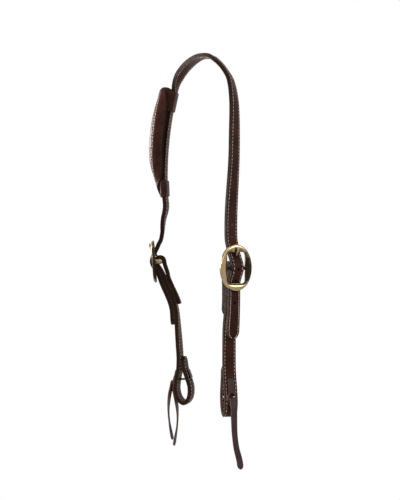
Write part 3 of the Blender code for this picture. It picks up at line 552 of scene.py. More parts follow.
ear = {
    "width": 0.0210, "tabWidth": 0.0150, "standoff": 0.0126, "forward": 0.0170,
    "half": 0.0735, "hook": 0.0047, "upperSleeve": 0.0240, "lowerSleeve": 0.0160,
    "endSpare": 0.0040, "tabSpare": 0.0030, "wall": 0.0013, "corner": 0.0022,
    "bendRadius": 0.450, "turn": 52.0, "facing": 228.0, "lean": -5.4,
    "place": (0.8566, 0.8698, 0.3980),
    # (angle, forward, turn) of the upper hook
    "hookTurns": [(180, 0.0, 0.0), (135, 0.02, 0.03), (90, 0.06, 0.10), (45, 0.13, 0.24)],
    # (out, forward, height, turn, width) of the bow below it
    "bow": [
        (1.12, 0.45, 0.74, 0.72, 0.7), (1.06, 0.74, 0.50, 0.92, 1.0),
        (1.00, 0.94, 0.25, 1.0, 1.0), (0.96, 1.00, 0.00, 1.00, 1.0),
        (0.92, 0.90, -0.25, 0.98, 1.0), (0.85, 0.62, -0.45, 0.82, 0.9),
        (0.77, 0.26, -0.60, 0.45, 0.6), (0.66, 0.03, -0.71, 0.10, 0.2),
        (0.47, 0.00, -0.82, 0.0, -0.1), (0.31, 0.00, -0.89, 0.0, -0.3),
        (0.20, 0.00, -0.945, 0.0, -0.6)],
    "plug": {"low": 0.28, "rise": 0.0020, "reach": 0.0090, "half": 0.0078, "forward": 0.0040,
             "sunk": 0.0012, "least": 0.0004, "grownBy": 0.55, "closeFrom": 0.80,
             "closeOver": 0.2},
    "cup": 0.0022, "backCup": 2.9, "hookFlat": 0.45, "lift": 0.0016, "lowerLift": 0.0045,
    "crest": 0.0009, "shoulder": 0.0009, "fall": 0.0004, "grooveDepth": 0.0005,
    "grooveShare": 0.12, "overlap": 0.0001,
    # places along the tab under its sleeve and (forward, turn, width) just over the hook
    "tabRows": (1.0, 0.66, 0.33, 0.1), "overHook": (0.22, 0.42, 0.25),
    # first and last height and number of the crown's rows behind the ear piece
    "crownRows": (0.92, -1.14, 11),
    # places of the face's columns, close together at its groove
    "faceShares": (0.82, 0.68, 0.54, 0.40, 0.28, 0.18, 0.12, 0.08, 0.04, 0.0),
    "threadPitch": 0.0038, "threadLead": 0.0040, "threadSpare": 0.0020, "boldThread": 1.45,
}
sleeve = {
    "around": 72, "squareness": 5.0, "lip": 0.9, "belly": 0.00025, "waist": 0.8,
    "burnishFrom": 0.86, "burnish": 0.55, "leastCore": 0.0002,
}


def barAxes(place, facing, lean=0.0):
    # Axes of a buckle bar: X out of the cheek, Y along the bar, Z up the strap.
    turn = Matrix.Rotation(radians(facing), 4, "Z") @ Matrix.Rotation(radians(lean), 4, "Y")
    return np.array(Matrix.Translation(place) @ turn)


near = {
    "name": "near", "bar": (0.0918, -0.0143, -0.2627), "facing": 3.0, "lean": 0.0,
    "drop": 0.1800, "turn": -17.0, "drift": 0.0, "slack": 0.0045, "holes": (0.31, 0.66),
    "above": [(-0.14, 1.05), (-0.43, 1.42)],
    "loop": [
        (0.00, 0.06), (0.02, 0.14), (0.09, 0.29), (0.23, 0.46), (0.34, 0.64), (0.37, 0.78),
        (0.27, 0.91), (0.03, 0.98), (-0.23, 0.93), (-0.40, 0.78), (-0.43, 0.62), (-0.37, 0.46),
        (-0.29, 0.31), (-0.268, 0.16), (-0.268, 0.04)],
}
off = {
    "name": "off", "bar": (-0.0926, -0.0129, -0.2563), "facing": 240.0, "lean": 4.0,
    "drop": 0.1925, "turn": -17.5, "drift": 0.0150, "slack": 0.0, "holes": (0.31, 0.50),
    "above": [(-0.15, 1.00), (-0.39, 1.22), (-0.78, 1.48), (-1.22, 2.18)],
    "loop": [
        (0.00, 0.06), (0.02, 0.14), (0.085, 0.305), (0.22, 0.46), (0.345, 0.67),
        (0.29, 0.825), (0.115, 0.93), (-0.14, 0.98), (-0.455, 0.89), (-0.583, 0.68),
        (-0.45, 0.47), (-0.31, 0.31), (-0.268, 0.17), (-0.268, 0.04)],
}
for side in (near, off):
    side["axes"] = barAxes(side["bar"], side["facing"], side["lean"])

tails = {
    "near_tie_tail": {"side": near, "length": 0.0816, "taper": 0.0, "thinning": 0.1, "route": [
        (0.1002, -0.0184, -0.4209), (0.1022, -0.0189, -0.4251), (0.1035, -0.0191, -0.4321),
        (0.1044, -0.0193, -0.4450), (0.1047, -0.0187, -0.4603), (0.1058, -0.0168, -0.4769),
        (0.1074, -0.0139, -0.4899), (0.1083, -0.0125, -0.5011)]},
    "off_tie_long_tail": {"side": off, "length": 0.0780, "taper": 0.2, "thinning": 0.22, "route": [
        (-0.0874, 0.0044, -0.4235), (-0.0862, 0.0054, -0.4307), (-0.0847, 0.0072, -0.4425),
        (-0.0844, 0.0088, -0.4571), (-0.0860, 0.0090, -0.4745), (-0.0880, 0.0075, -0.4892),
        (-0.0890, 0.0059, -0.5011)]},
    "off_tie_short_tail": {"side": off, "length": 0.0778, "taper": 0.2, "thinning": 0.22, "route": [
        (-0.0881, 0.0024, -0.4162), (-0.0872, 0.0009, -0.4226), (-0.0864, -0.0016, -0.4303),
        (-0.0862, -0.0034, -0.4421), (-0.0856, -0.0042, -0.4538), (-0.0846, -0.0035, -0.4669),
        (-0.0835, -0.0017, -0.4801), (-0.0823, 0.0005, -0.4926)]},
}


def eased(up, kind):
    # 0 above the start of a turn, drift or slack and 1 below its end, smooth between.
    start, length = cheek[kind]
    share = np.clip((-np.asarray(up) - start) / length, 0.0, 1.0)
    return share * share * (3 - 2 * share)


def billetLine(side):
    # Side view (out, up) of the crown's end: behind both rims and over the bar.
    rows = [(strapBase, -share * crown["billet"]) for share in crown["flat"]]
    footOut, footUp = crown["bumpFoot"]
    rows.append((strapBase, -windowHalf * crown["behindRim"]))
    rows.append((strapBase + bump * footOut, -windowHalf * footUp))
    for angle in (-30, 0, 30):
        rows.append((bumpRadius * cos(radians(angle)), bumpRadius * sin(radians(angle))))
    rows.append((strapBase + bump * footOut, windowHalf * footUp))
    for outShare, upShare in side["above"]:
        rows.append((strapBase + bump * outShare, windowHalf * upShare))
    flat = smoothRoute(rows, 2)
    flat[:, 0] -= side["drift"] * eased(flat[:, 1], "drift")
    return flat


def cheekMiddle(side):
    return strapBase - layerPitch - side["drift"] - side["slack"]


def turnedPlaces(side, flat):
    # A side view (out, up) turned about the cheek strap, as rows of place and width.
    pivot = cheekMiddle(side)
    angle = radians(side["turn"]) * eased(flat[:, 1], "turn")
    reach = flat[:, 0] - pivot
    places = np.stack([pivot + reach * np.cos(angle), reach * np.sin(angle), flat[:, 1]], axis=1)
    return placed(side["axes"], places), turned(side["axes"], widthWays(angle))


def sideOffset(flat, distance):
    # A flat line moved to its left by a distance.
    along = tangentsOf(flat)
    return flat + distance * np.stack([-along[:, 1], along[:, 0]], axis=1)


def loopTop(side):
    return -(side["drop"] - strapThickness / 2 - cheek["loopLength"])


def cheekLine(side):
    # Side view of a cheek strap: turn-back, fold over the bar, front leg, bit loop.
    billet = billetLine(side)
    low = billet[billet[:, 1] < 0][::-1]
    front = sideOffset(low, -layerPitch)
    back = sideOffset(low, -2 * layerPitch)
    for line in (front, back):
        line[:, 0] -= side["slack"] * eased(line[:, 1], "slack")
    clear = windowHalf * buckle["foldTurns"][-1][1] * cheek["backSpare"]
    back = back[(back[:, 1] < -clear) & (back[:, 1] > -cheek["turnBack"])][::-1]
    rows = [tuple(row) for row in evenSteps(back, 2, strapThickness)]
    for outShare, downShare in buckle["foldTurns"][::-1]:
        up = -windowHalf * downShare
        shift = side["drift"] * float(eased(up, "drift"))
        rows.append((-foldRadius * outShare - shift, up))
    for angle in (180, 150, 120, 90, 60, 30):
        rows.append((foldRadius * cos(radians(angle)), foldRadius * sin(radians(angle))))
    top = loopTop(side)
    loop = [(cheekMiddle(side) + out * cheek["loopWidth"], top - down * cheek["loopLength"])
            for out, down in side["loop"]]
    front = evenSteps(front[front[:, 1] > loop[0][1] + fits["strapWidth"]], 2, strapThickness)
    rows += [tuple(row) for row in front if row[1] < -foldRadius / 2]
    return relaxed(smoothRoute(rows + loop, 2), 2, fits["smoothing"])


def archRows(shares, bar):
    # Shares of a bar's spread, forward and drop into rows of place and width.
    spread, forward, drop = bar[0], -bar[1], -bar[2]
    rows = []
    for across, front, down, plane in shares:
        width = (cos(radians(plane - 90)), sin(radians(plane - 90)), 0.0)
        rise = strapThickness / 2 - down * (drop + strapThickness / 2)
        rows.append((across * spread, -front * forward, rise, *width))
    return np.array(rows)


def earPlaces(rows):
    # (out, forward, height) from the crown's centre line into world places.
    angle = rows[..., 2] / ear["bendRadius"]
    radius = ear["bendRadius"] + rows[..., 0]
    local = np.stack([radius * np.cos(angle), rows[..., 1], radius * np.sin(angle)], axis=-1)
    return placed(earAxes, local)


across, front, down = ear["place"]
earAxes = barAxes((0, 0, 0), ear["facing"], ear["lean"])
earAxes[:3, 3] = (np.array([across * off["bar"][0], front * off["bar"][1], down * off["bar"][2]])
                  - ear["bendRadius"] * earAxes[:3, 0])


def crownRoute():
    # The crown's places and widths, from its near tip over the poll to its off tip.
    nearPlaces, nearWidths = turnedPlaces(near, billetLine(near)[::6])
    offPlaces, offWidths = turnedPlaces(off, billetLine(off)[::6][::-1])
    heights = np.linspace(*ear["crownRows"]) * ear["half"]
    bend = earPlaces(np.stack([0 * heights, 0 * heights, heights], axis=1))
    widths = turned(earAxes, np.tile([0.0, 1.0, 0.0], (len(heights), 1)))
    rows = [np.hstack([nearPlaces, -nearWidths]), archRows(crown["nearArch"], near["bar"])[::-1],
            archRows([(0, 0, 0, crown["apexPlane"])], near["bar"]),
            archRows(crown["offArch"], off["bar"]), np.hstack([bend, widths]),
            archRows(crown["offLower"], off["bar"]), np.hstack([offPlaces, offWidths])]
    return relaxed(smoothRoute(np.vstack(rows), 3), 3, fits["smoothing"])


def tipRows(route, length):
    # Close stations at the end of a route, for a rounded tip.
    run = lengthsOf(route[:, :3])
    angles = np.radians(np.linspace(90, 6, 15))
    kept = run[run < run[-1] - length]
    return readAt(np.concatenate([kept, run[-1] - length * (1 - np.cos(angles))]), run, route)


def tipShares(route, length, ends):
    # Half width share at each station: an ellipse at the ends that are rounded.
    run = lengthsOf(route[:, :3])
    share = np.ones(len(run))
    for end in ends:
        left = run if end == "start" else run[-1] - run
        close = np.clip(left / length, 0.0, 1.0)
        ellipse = np.sqrt(1 - (1 - close) ** 2)
        share = np.minimum(share, ellipse * (1 - fits["tipLeast"]) + fits["tipLeast"])
    return share


def strapOf(rows):
    # A strap of full width with both tips rounded.
    rows = tipRows(tipRows(rows, fits["tipLength"])[::-1], fits["tipLength"])[::-1]
    shares = tipShares(rows, fits["tipLength"], ("start", "end"))
    return Strap(rows, shares * fits["strapWidth"] / 2)


section = {
    "seam": 0.00002, "foot": 0.00025, "footShare": 0.3, "shoulder": 0.00085, "belly": 0.00004,
    "grooveInset": 0.0021, "grooveHalf": 0.0008, "grooveDepth": 0.00042, "puff": 0.00012,
    "fullHalf": 0.0045,
}


def mirrored(right, shared=1):
    # A section's right half, then the same turned over without the columns at its middle that
    # the halves share. Columns are (share of the half width, added side, out, edge, groove),
    # counter-clockwise.
    left = right[:len(right) - shared][::-1]
    return np.vstack([right, left * np.array([-1, -1, 1, 1, 1])])


def wallColumns(top, shoulder, belly=()):
    # Up a ply's right wall from its foot and over the round shoulder.
    foot = section["foot"]
    rows = [(foot, 0.0), (section["footShare"] * foot, section["footShare"] * foot), (0.0, foot)]
    wall = [(1.0, -inset, out, 1.0, 0.0) for inset, out in (*rows, *belly)]
    turn = quarterTurn(7)
    over = np.stack([0 * turn + 1, -shoulder * (1 - np.cos(turn)),
                     top - shoulder * (1 - np.sin(turn)), 1 - turn / turn[-1], 0 * turn], axis=1)
    return np.vstack([wall, over])


def plySection(thickness):
    # Wall and shoulder, the stitch groove, then the face, puffed up between the grooves.
    shoulder = section["shoulder"]
    belly = (-section["belly"], (thickness - shoulder + section["foot"]) / 2)
    dip = np.linspace(-1, 1, 9)
    hollow = np.cos(dip * pi / 2) ** 2
    inset = section["grooveInset"] + dip * section["grooveHalf"]
    groove = np.stack([0 * dip + 1, -inset, thickness - section["grooveDepth"] * hollow,
                       0 * dip, hollow], axis=1)
    inner = section["grooveInset"] + section["grooveHalf"]
    face = [(part, -part * inner, thickness + section["puff"] * (1 - part ** 2), 0.0, 0.0)
            for part in (0.75, 0.5, 0.25, 0.0)]
    return mirrored(np.vstack([wallColumns(thickness, shoulder, [belly]), groove, face]))


def cupShare(share):
    # How far a cupped strip falls away from its middle, further on its back side.
    return share ** 2 * np.where(share > 0, ear["backCup"], 1.0)


def plyMesh(name, strap, face, finishes, columns, cup=None):
    # Ring at each station: side = share * half + added * shrink, out = face * (seam + out) - cup.
    halves = strap.halves
    columns = columns if face > 0 else columns[::-1]
    shrink = np.clip(halves / section["fullHalf"], 0.12, 1.0)[:, None]
    sides = columns[:, 0] * halves[:, None] + columns[:, 1] * shrink
    outs = face * (section["seam"] + columns[:, 2]) + 0 * sides
    if cup is not None:
        outs = outs - cup[:, None] * cupShare(sides / halves[:, None])
    points = strap.at(strap.run[:, None], sides, outs)
    values = {"edge": np.tile(columns[:, 3], len(points)),
              "groove": np.tile(columns[:, 4], len(points))}
    return makePiece(name, points, ringFaces(*points.shape[:2]), finishes, values)


thread = {
    "pitch": 0.0043, "length": 0.0033, "radius": 0.00040, "slant": 5.0, "proud": 0.00016,
    "dive": 0.00030,
}


def stitchShape():
    # A capsule of four rings and two poles: x = -cos(t) * half, radius = sin(t) ** 0.45.
    turn = np.radians([0, 24, 66, 114, 156, 180])
    angle = np.radians(np.arange(6) * 60)
    x = -np.cos(turn) * thread["length"] / 2
    size = np.sin(turn) ** 0.45 * thread["radius"]
    size[[0, -1]] = 0.0
    rings = np.stack([x[:, None] + 0 * angle, size[:, None] * np.cos(angle),
                      size[:, None] * np.sin(angle)], axis=-1)
    points = np.vstack([rings[1:5].reshape(-1, 3), rings[0, :1], rings[5, :1]])
    corner = np.arange(24).reshape(4, 6)
    beside = np.roll(corner, -1, axis=1)
    quads = np.stack([beside[:-1], beside[1:], corner[1:], corner[:-1]], axis=-1).reshape(-1, 4)
    caps = [(b, a, corner.size) for a, b in zip(corner[0], beside[0])]
    caps += [(a, b, corner.size + 1) for a, b in zip(corner[-1], beside[-1])]
    return points, quads, np.array(caps)


def rowOf(strap, way, start, end, inset, pitch):
    # Stitch places (run, side, heading) along a row that keeps its inset from the edge.
    run = np.arange(start, end, thread["radius"])
    half = np.interp(run, strap.run, strap.halves)
    wide = half > inset + thread["radius"]
    run, side = run[wide], way * (half[wide] - inset)
    heading = np.arctan2(np.gradient(side), np.gradient(run))
    rows = np.stack([run, side, heading], axis=1)
    length = lengthsOf(rows[:, :2])
    count = int(length[-1] / pitch)
    return readAt((np.arange(count) + 0.5) * length[-1] / count, length, rows)


def sewnPiece(name, strap, rows, finish, level, cup=None, bold=1.0):
    # Every stitch bent along the strap, a little proud of that level. Rows are (places, face)
    # and bold is the thread's thickness as a share of the usual one.
    shape, quads, caps = stitchShape()
    points, faces, first = [], [], 0
    for places, face in rows:
        run, side, heading = places.T[:, :, None]
        heading = heading + radians(thread["slant"])
        x, y, z = (shape * [1.0, bold, bold]).T
        y = y * face
        dive = thread["dive"] * (2 * x / thread["length"]) ** 4
        out = level + (thread["proud"] - thread["radius"]) * bold + z - dive
        at = (run + x * np.cos(heading) - y * np.sin(heading),
              side + x * np.sin(heading) + y * np.cos(heading), face * out + 0 * run)
        if cup is not None:
            half = np.interp(at[0], strap.run, strap.halves)
            drop = np.interp(at[0], strap.run, cup) * cupShare(at[1] / half)
            at = (at[0], at[1], at[2] - drop)
        points.append(strap.at(*at).reshape(-1, 3))
        shift = first + np.arange(len(places))[:, None, None] * len(shape)
        faces += (quads + shift).reshape(-1, 4).tolist() + (caps + shift).reshape(-1, 3).tolist()
        first += len(places) * len(shape)
    return makePiece(name, np.vstack(points), faces, [finish], sharp=80.0)


makeCamera()

looks = {
    "outer": harnessFinish("harness_leather_outer", harness["outer"]),
    "lining": harnessFinish("harness_leather_lining", harness["lining"]),
    "cut": rawFinish(),
    "lace": laceFinish(),
    "thread": threadFinish(),
    "brass": brassFinish(),
}
print("finishes made")


def flatSection(thickness, corner):
    # Rounded flat section.
    turn = quarterTurn(4)
    half = thickness / 2
    inset = np.concatenate([corner * (1 - np.sin(turn[::-1])), corner * (1 - np.cos(turn))])
    out = np.concatenate([-half + corner * (1 - np.cos(turn[::-1])),
                          half - corner * (1 - np.sin(turn))])
    edge = np.concatenate([[0.3, 0.7, 1.0, 1.0], [1.0, 1.0, 0.7, 0.3]])
    right = np.stack([0 * inset + 1, -inset, out, edge, 0 * inset], axis=1)
    face = (lace["faceShare"], 0.0, half + section["puff"] / 2, 0.0, 0.0)
    return mirrored(np.vstack([right, face]), 0)


def makeTails():
    # Hanging lace ends: a flat strip with worn corners that bends out of the eye, narrows by
    # its taper, thins, curls a little and ends in a rounded tip.
    for name, tail in tails.items():
        side = tail["side"]
        facing = radians(side["facing"] + side["turn"])
        route = relaxed(smoothRoute(tail["route"], 3, 8), 3, fits["smoothing"])
        lead = [route[0] + lace["bend"] * np.array([-share * cos(facing), -share * sin(facing), up])
                for share, up in lace["lead"]]
        rows = smoothRoute(np.vstack([lead, route[::4]]), 3, 6)
        rows = thinned(rows, 3, lace["tailStep"], lace["tailBend"])
        rows = np.hstack([rows, np.tile([-sin(facing), cos(facing), 0.0], (len(rows), 1))])
        rows = tipRows(rows, lace["width"] * lace["tip"])
        halves = tipShares(rows, lace["width"] * lace["tip"], ("end",)) * lace["width"] / 2
        share = lengthsOf(rows[:, :3])
        share = (share / share[-1])[:, None]
        halves = halves * (1 - tail["taper"] * share[:, 0] ** 2)
        strap = Strap(rows, halves)
        columns = flatSection(lace["thickness"], lace["corner"])
        shrink = np.clip(halves / lace["fullHalf"], 0.1, 1.0)[:, None]
        sides = columns[:, 0] * halves[:, None] + columns[:, 1] * shrink
        runs = strap.run[:, None]
        curl = lace["curl"] * np.sin(runs * lace["curls"]) * sides / (lace["width"] / 2)
        points = strap.at(runs, sides, columns[:, 2] * (1 - tail["thinning"] * share) + curl)
        values = {"edge": columns[:, 3] * (1 - lace["edgeFade"] * share)}
        piece = makePiece(name + "_strip", points, ringFaces(*points.shape[:2]), [looks["lace"]],
                          values)
        fitted(piece, side["name"] + "_cheek", name)


makeTails()
print("hanging lace ends made")


def tongueLine():
    # Side view of a tongue: out of its eye, up through the crown and onto the top rim.
    rest = buckle["setout"] + buckle["rim"] / 2 + fits["seatGap"] + buckle["tongueTip"]
    eye = (buckle["eyeRadius"] + buckle["barRadius"] + buckle["barGap"]) / 2
    start = [eye * share for share in buckle["tongueStart"]]
    way = [(rest * out, windowHalf * up) for out, up in buckle["tongueWay"]]
    return smoothRoute([start] + way, 2)


def tonguePiercing(side):
    # Where a tongue crosses the middle of the crown, and its direction there.
    billet = billetLine(side)
    billet = billet[billet[:, 1] > 0]
    line = tongueLine()
    gaps = np.linalg.norm(billet[:, None] - line[None], axis=2)
    nearest = np.unravel_index(np.argmin(gaps), gaps.shape)[1]
    way = tangentsOf(line)[nearest]
    aim = placed(side["axes"], np.array([line[nearest][0], 0.0, line[nearest][1]]))
    return aim, turned(side["axes"], np.array([way[0], 0.0, way[1]]))


def sewPlies(name, body, strap, columns, cutters, spans):
    # Both plies of a strap with their holes, and its two rows of thread on each face, over
    # spans (start, end, pitch) of the run.
    for ply, face in (("outer", 1), ("lining", -1)):
        piece = plyMesh(f"{name}_{ply}_leather", strap, face, [looks[ply], looks["cut"]], columns)
        for points, faces in cutters:
            cutAway(piece, points, faces)
        fitted(piece, body, f"{name}_{ply}_ply")
    rows = [(rowOf(strap, way, *span[:2], section["grooveInset"], span[2]), face)
            for way in (-1, 1) for face in (1, -1) for span in spans]
    piece = sewnPiece(name + "_stitches", strap, rows, looks["thread"], strapThickness / 2)
    fitted(piece, body)


def makeCrown():
    strap = strapOf(thinned(crownRoute(), 3, fits["stationStep"], fits["stationBend"]))
    columns = plySection(strapThickness / 2 - section["seam"])
    run = strap.run
    change = crown["billet"] - crown["billetSpare"]
    spots, tongues = [], []
    for side, step in ((near, 1), (off, -1)):
        aim, way = tonguePiercing(side)
        middle = run[np.argmin(np.linalg.norm(strap.places - aim, axis=1))]
        sideways = readAt(middle, run, strap.across)
        tongues.append((aim, sideways, np.cross(way, sideways), way))
        for number in range(-crown["holesDown"], crown["holesUp"] + 1):
            if number:
                at = middle + step * number * crown["holePitch"]
                spots.append(tuple(readAt(at, run, part) for part in
                                   (strap.places, strap.across, strap.along, -strap.outward)))
    holes = punches(spots, roundOutline(crown["holeRadius"]), crown["punchDepth"])
    slots = punches(tongues, roundOutline(buckle["tongueHole"]), 3 * strapThickness)
    sewPlies("crown", "crown", strap, columns, [holes, slots],
             [(run[0], change, crown["billetPitch"]), (change, run[-1], thread["pitch"])])


makeCrown()
print("crown strap made")


def holeHeight(side, share):
    return loopTop(side) - share * cheek["loopLength"]


def makeCheek(side):
    flat = thinned(cheekLine(side), 2, fits["stationStep"], fits["stationBend"])
    strap = strapOf(np.hstack(turnedPlaces(side, flat)))
    columns = plySection(strapThickness / 2 - section["seam"])
    axes = side["axes"]
    x, y, z = axes[:3, 0], axes[:3, 1], axes[:3, 2]
    radius = buckle["eyeWidth"] / 2 + buckle["slotGap"]
    low = axes[:3, 3] + z * (-buckle["eyeRadius"] - 2 * fits["runningGap"])
    cutters = [punches([(low, y, z, x)], slotOutline(radius, 2 * foldRadius), 6 * foldRadius)]
    for share in side["holes"]:
        up = holeHeight(side, share)
        angle = radians(side["turn"]) * float(eased(up, "turn"))
        outWay = turned(axes, np.array([cos(angle), sin(angle), 0.0]))
        wide = turned(axes, np.array([-sin(angle), cos(angle), 0.0]))
        middle = placed(axes, np.array([cheekMiddle(side), 0.0, up])) - wide * lace["width"] / 2
        outline = slotOutline(lace["thickness"] / 2 + lace["slotSpare"], lace["width"])
        cutters.append(punches([(middle, -z, wide, outWay)], outline, 4 * cheek["loopWidth"]))
    name = side["name"] + "_cheek"
    sewPlies(name, name, strap, columns, cutters, [(0.0, strap.run[-1], thread["pitch"])])


makeCheek(near)
makeCheek(off)
print("cheek straps made")


def earRoute():
    # Rows (out, forward, height, turn, half width, bow) from the upper tab to the lower end.
    tab = layerPitch
    extra = (ear["width"] - ear["tabWidth"]) / 2
    half = ear["tabWidth"] / 2
    top = ear["half"] - strapThickness / 2 - ear["hook"]
    reach = ear["upperSleeve"] + ear["tabSpare"]
    rows = [(tab, 0, top - reach * share, 0, half, 0) for share in ear["tabRows"]]
    for angle, forward, turn in ear["hookTurns"]:
        rows.append((tab + ear["hook"] * (1 + cos(radians(angle))), forward * ear["forward"],
                     top + ear["hookFlat"] * ear["hook"] * sin(radians(angle)),
                     turn * ear["turn"], half, 0))
    forward, turn, wide = ear["overHook"]
    rows.append((tab + 2 * ear["hook"], forward * ear["forward"], top, turn * ear["turn"],
                 half + wide * extra, 1))
    for out, forward, height, turn, wide in ear["bow"]:
        rows.append((out * ear["standoff"], forward * ear["forward"], height * ear["half"],
                     turn * ear["turn"], half + wide * extra, 1))
    return relaxed(smoothRoute(rows, 3), 3, fits["smoothing"] / 2), top


def earSection(thickness, crest):
    # Convex face with one groove along its middle; edge walls as on the straps.
    edgeTop = thickness - ear["fall"]
    columns = list(wallColumns(edgeTop, ear["shoulder"]))
    for share in ear["faceShares"]:
        dip = max(0.0, 1 - (share / ear["grooveShare"]) ** 2)
        rise = (ear["fall"] + crest) * (1 - share ** 2) - ear["grooveDepth"] * dip
        columns.append((share, -share * ear["shoulder"] * 0.5, edgeTop + rise, 0.0, dip))
    return mirrored(np.array(columns))


def makeEar():
    dense, top = earRoute()
    route = thinned(dense, 3, fits["stationStep"], fits["stationBend"])
    widths = turned(earAxes, widthWays(np.radians(route[:, 3])))
    strap = Strap(np.hstack([earPlaces(route[:, :3]), widths]), route[:, 4])
    swell = np.clip((route[:, 4] - ear["tabWidth"] / 2) / ((ear["width"] - ear["tabWidth"]) / 2),
                    0.0, 1.0)
    cup = ear["cup"] * swell
    bow = route[:, 5] > 0.99
    under = Strap(np.hstack([strap.places, widths])[bow], route[bow, 4])
    thickness = fits["ply"] + ear["overlap"]
    for name, face, strip, crest, drop in (("outer", 1, strap, ear["crest"], cup),
                                           ("lining", -1, under, 0.0, cup[bow])):
        piece = plyMesh(f"ear_{name}_leather", strip, face, [looks[name]],
                        earSection(thickness, crest), drop)
        fitted(piece, "ear_piece", f"ear_{name}_ply")
    middle = np.arange(strap.run[bow][0] - ear["threadLead"], strap.run[-1] - ear["threadSpare"],
                       ear["threadPitch"])
    places = np.stack([middle, 0 * middle, 0 * middle], axis=1)
    level = fits["ply"] + ear["crest"] - ear["overlap"]
    piece = sewnPiece("ear_stitches", strap, [(places, 1)], looks["thread"], level, cup,
                      ear["boldThread"])
    fitted(piece, "ear_piece")
    overTab = strapThickness / 2 + fits["seatGap"] + fits["ply"]
    low = -ear["half"] + ear["endSpare"]
    makeSleeve("ear_upper", top - ear["upperSleeve"], top + ear["lift"], overTab, ear["plug"])
    makeSleeve("ear_lower", low, low + ear["lowerSleeve"] + ear["lowerLift"], strapThickness / 2)


def plugRings(start, end, held, plug):
    # Leather that fills the hook: rounded rectangles (out, forward), one above another. They
    # grow out of the sleeve's wall as a sine of the height and close at the top as an ellipse.
    share = np.linspace(0, 1, 26)[:, None]
    low = start + (end - start) * plug["low"]
    height = low + share * (end + plug["rise"] - low)
    past = np.clip((share - plug["closeFrom"]) / plug["closeOver"], 0, 1)
    close = np.sqrt(np.clip(1 - past ** 2, 0.02, 1))
    grown = np.sin(np.clip(share / plug["grownBy"], 0, 1) * pi / 2) ** 0.8
    inner = held - plug["sunk"]
    outer = inner + plug["least"] + plug["reach"] * grown
    x, y = squared(fullTurn(40), 0.5)
    out = (inner + outer) / 2 + (outer - inner) / 2 * close * x
    forward = plug["forward"] * share + plug["half"] * (0.55 + 0.45 * close) * y
    return earPlaces(np.stack([out, forward, height + 0 * out], axis=-1))


def makeSleeve(name, start, end, held, plug=None):
    # Closed shell: a rounded rectangle round the crown, carried round the wall's own section,
    # which bellies a little, rolls over at its lips and slopes off inside.
    wall = ear["wall"] / 2
    inner = -(strapThickness / 2 + fits["runningGap"] + wall)
    outer = held + fits["runningGap"] + wall
    reach = fits["strapWidth"] / 2 + fits["runningGap"] + wall
    angle = fullTurn(sleeve["around"])
    corner = np.minimum(ear["corner"], (outer - inner) / 2 - sleeve["leastCore"])
    heading = headings(angle)
    half = np.array([(outer - inner) / 2, reach]) - corner
    core = half * np.tanh(heading * sleeve["squareness"]) / np.tanh(sleeve["squareness"])
    roll = quarterTurn(5)
    back = roll[-2::-1]
    high, lip = (end - start) / 2, wall * sleeve["lip"]
    up = np.concatenate([high - lip * (1 - np.sin(roll)), high - lip * (2 - np.sin(back))])
    thick = np.concatenate([wall - lip * (1 - np.cos(roll)), lip * (1 - np.cos(back)) - wall])
    waist = np.linspace(sleeve["waist"], -sleeve["waist"], 7) * high
    up = np.concatenate([waist[::-1], up, waist, -up[::-1]])
    belly = wall + sleeve["belly"] * (1 - (waist / high) ** 2)
    thick = np.concatenate([belly, thick, 0 * waist - wall, thick[::-1]])
    edge = sleeve["burnish"] * (np.abs(up) > sleeve["burnishFrom"] * high)
    out = (inner + outer) / 2 + core[:, None, 0] + (corner + thick) * heading[:, None, 0]
    forward = core[:, None, 1] + (corner + thick) * heading[:, None, 1]
    height = (start + end) / 2 + up + 0 * out
    points = earPlaces(np.stack([out, forward, height], axis=-1))
    parts, edges = [(points, True)], [np.tile(edge, len(points))]
    if plug:
        parts.append((plugRings(start, end, outer, plug), False))
        edges.append(np.zeros(parts[-1][0][..., 0].size))
    points, faces = joinedRings(parts)
    piece = makePiece(f"{name}_sleeve", points, faces, [looks["outer"]],
                      {"edge": np.concatenate(edges)})
    fitted(piece, "ear_piece", f"{name}_loop")


makeEar()
print("ear piece made")


def windowEdge(angle):
    # Points on the rounded rectangular window, found by halving the reach.
    heading = headings(angle)
    half = np.array([buckle["windowWidth"], buckle["windowHeight"]]) / 2 - buckle["windowCorner"]
    low, high = np.zeros(len(angle)), np.full(len(angle), buckle["height"])
    for _ in range(30):
        reach = (low + high) / 2
        past = np.maximum(np.abs(heading) * reach[:, None] - half, 0.0)
        inside = np.linalg.norm(past, axis=1) < buckle["windowCorner"]
        low, high = np.where(inside, reach, low), np.where(inside, high, reach)
    return heading * low[:, None]


rim = {
    # (across from the window to the outside, out, patina in the hollows), as shares of the rim
    "section": [
        (1.0, -0.55, 0.35), (1.0, -0.15, 0.2), (0.965, 0.22, 0.1), (0.87, 0.55, 0.05),
        (0.70, 0.82, 0.0), (0.45, 0.97, 0.0), (0.15, 1.01, 0.0), (-0.15, 0.95, 0.05),
        (-0.42, 0.80, 0.15), (-0.62, 0.62, 0.4), (-0.74, 0.46, 0.9), (-0.81, 0.42, 1.0),
        (-0.86, 0.50, 0.5), (-0.92, 0.52, 0.1), (-0.975, 0.44, 0.2), (-1.0, 0.25, 0.5),
        (-1.0, -0.30, 0.9), (-1.0, -0.85, 1.0), (-0.93, -1.0, 1.0), (-0.3, -1.0, 1.0),
        (0.4, -1.0, 1.0), (0.88, -1.0, 1.0), (0.97, -0.88, 0.9)],
    "around": 256,
    # the next two values paint shade: the rim gets more tarnish colour on the side away from this
    # angle, up to the first value, in place of a dark reflection there
    "paintedShadeShare": 0.95,
    "paintedLightWay": 172.0,
    # (inset, place) across a lug's thickness, and how far a bar's end is rounded
    "lugRounding": [(0.0005, -1.0), (0.00015, -0.9), (0.0, -0.66), (0.0, 0.66), (0.00015, 0.9),
                    (0.0005, 1.0)],
    "barRounding": 0.0006,
}


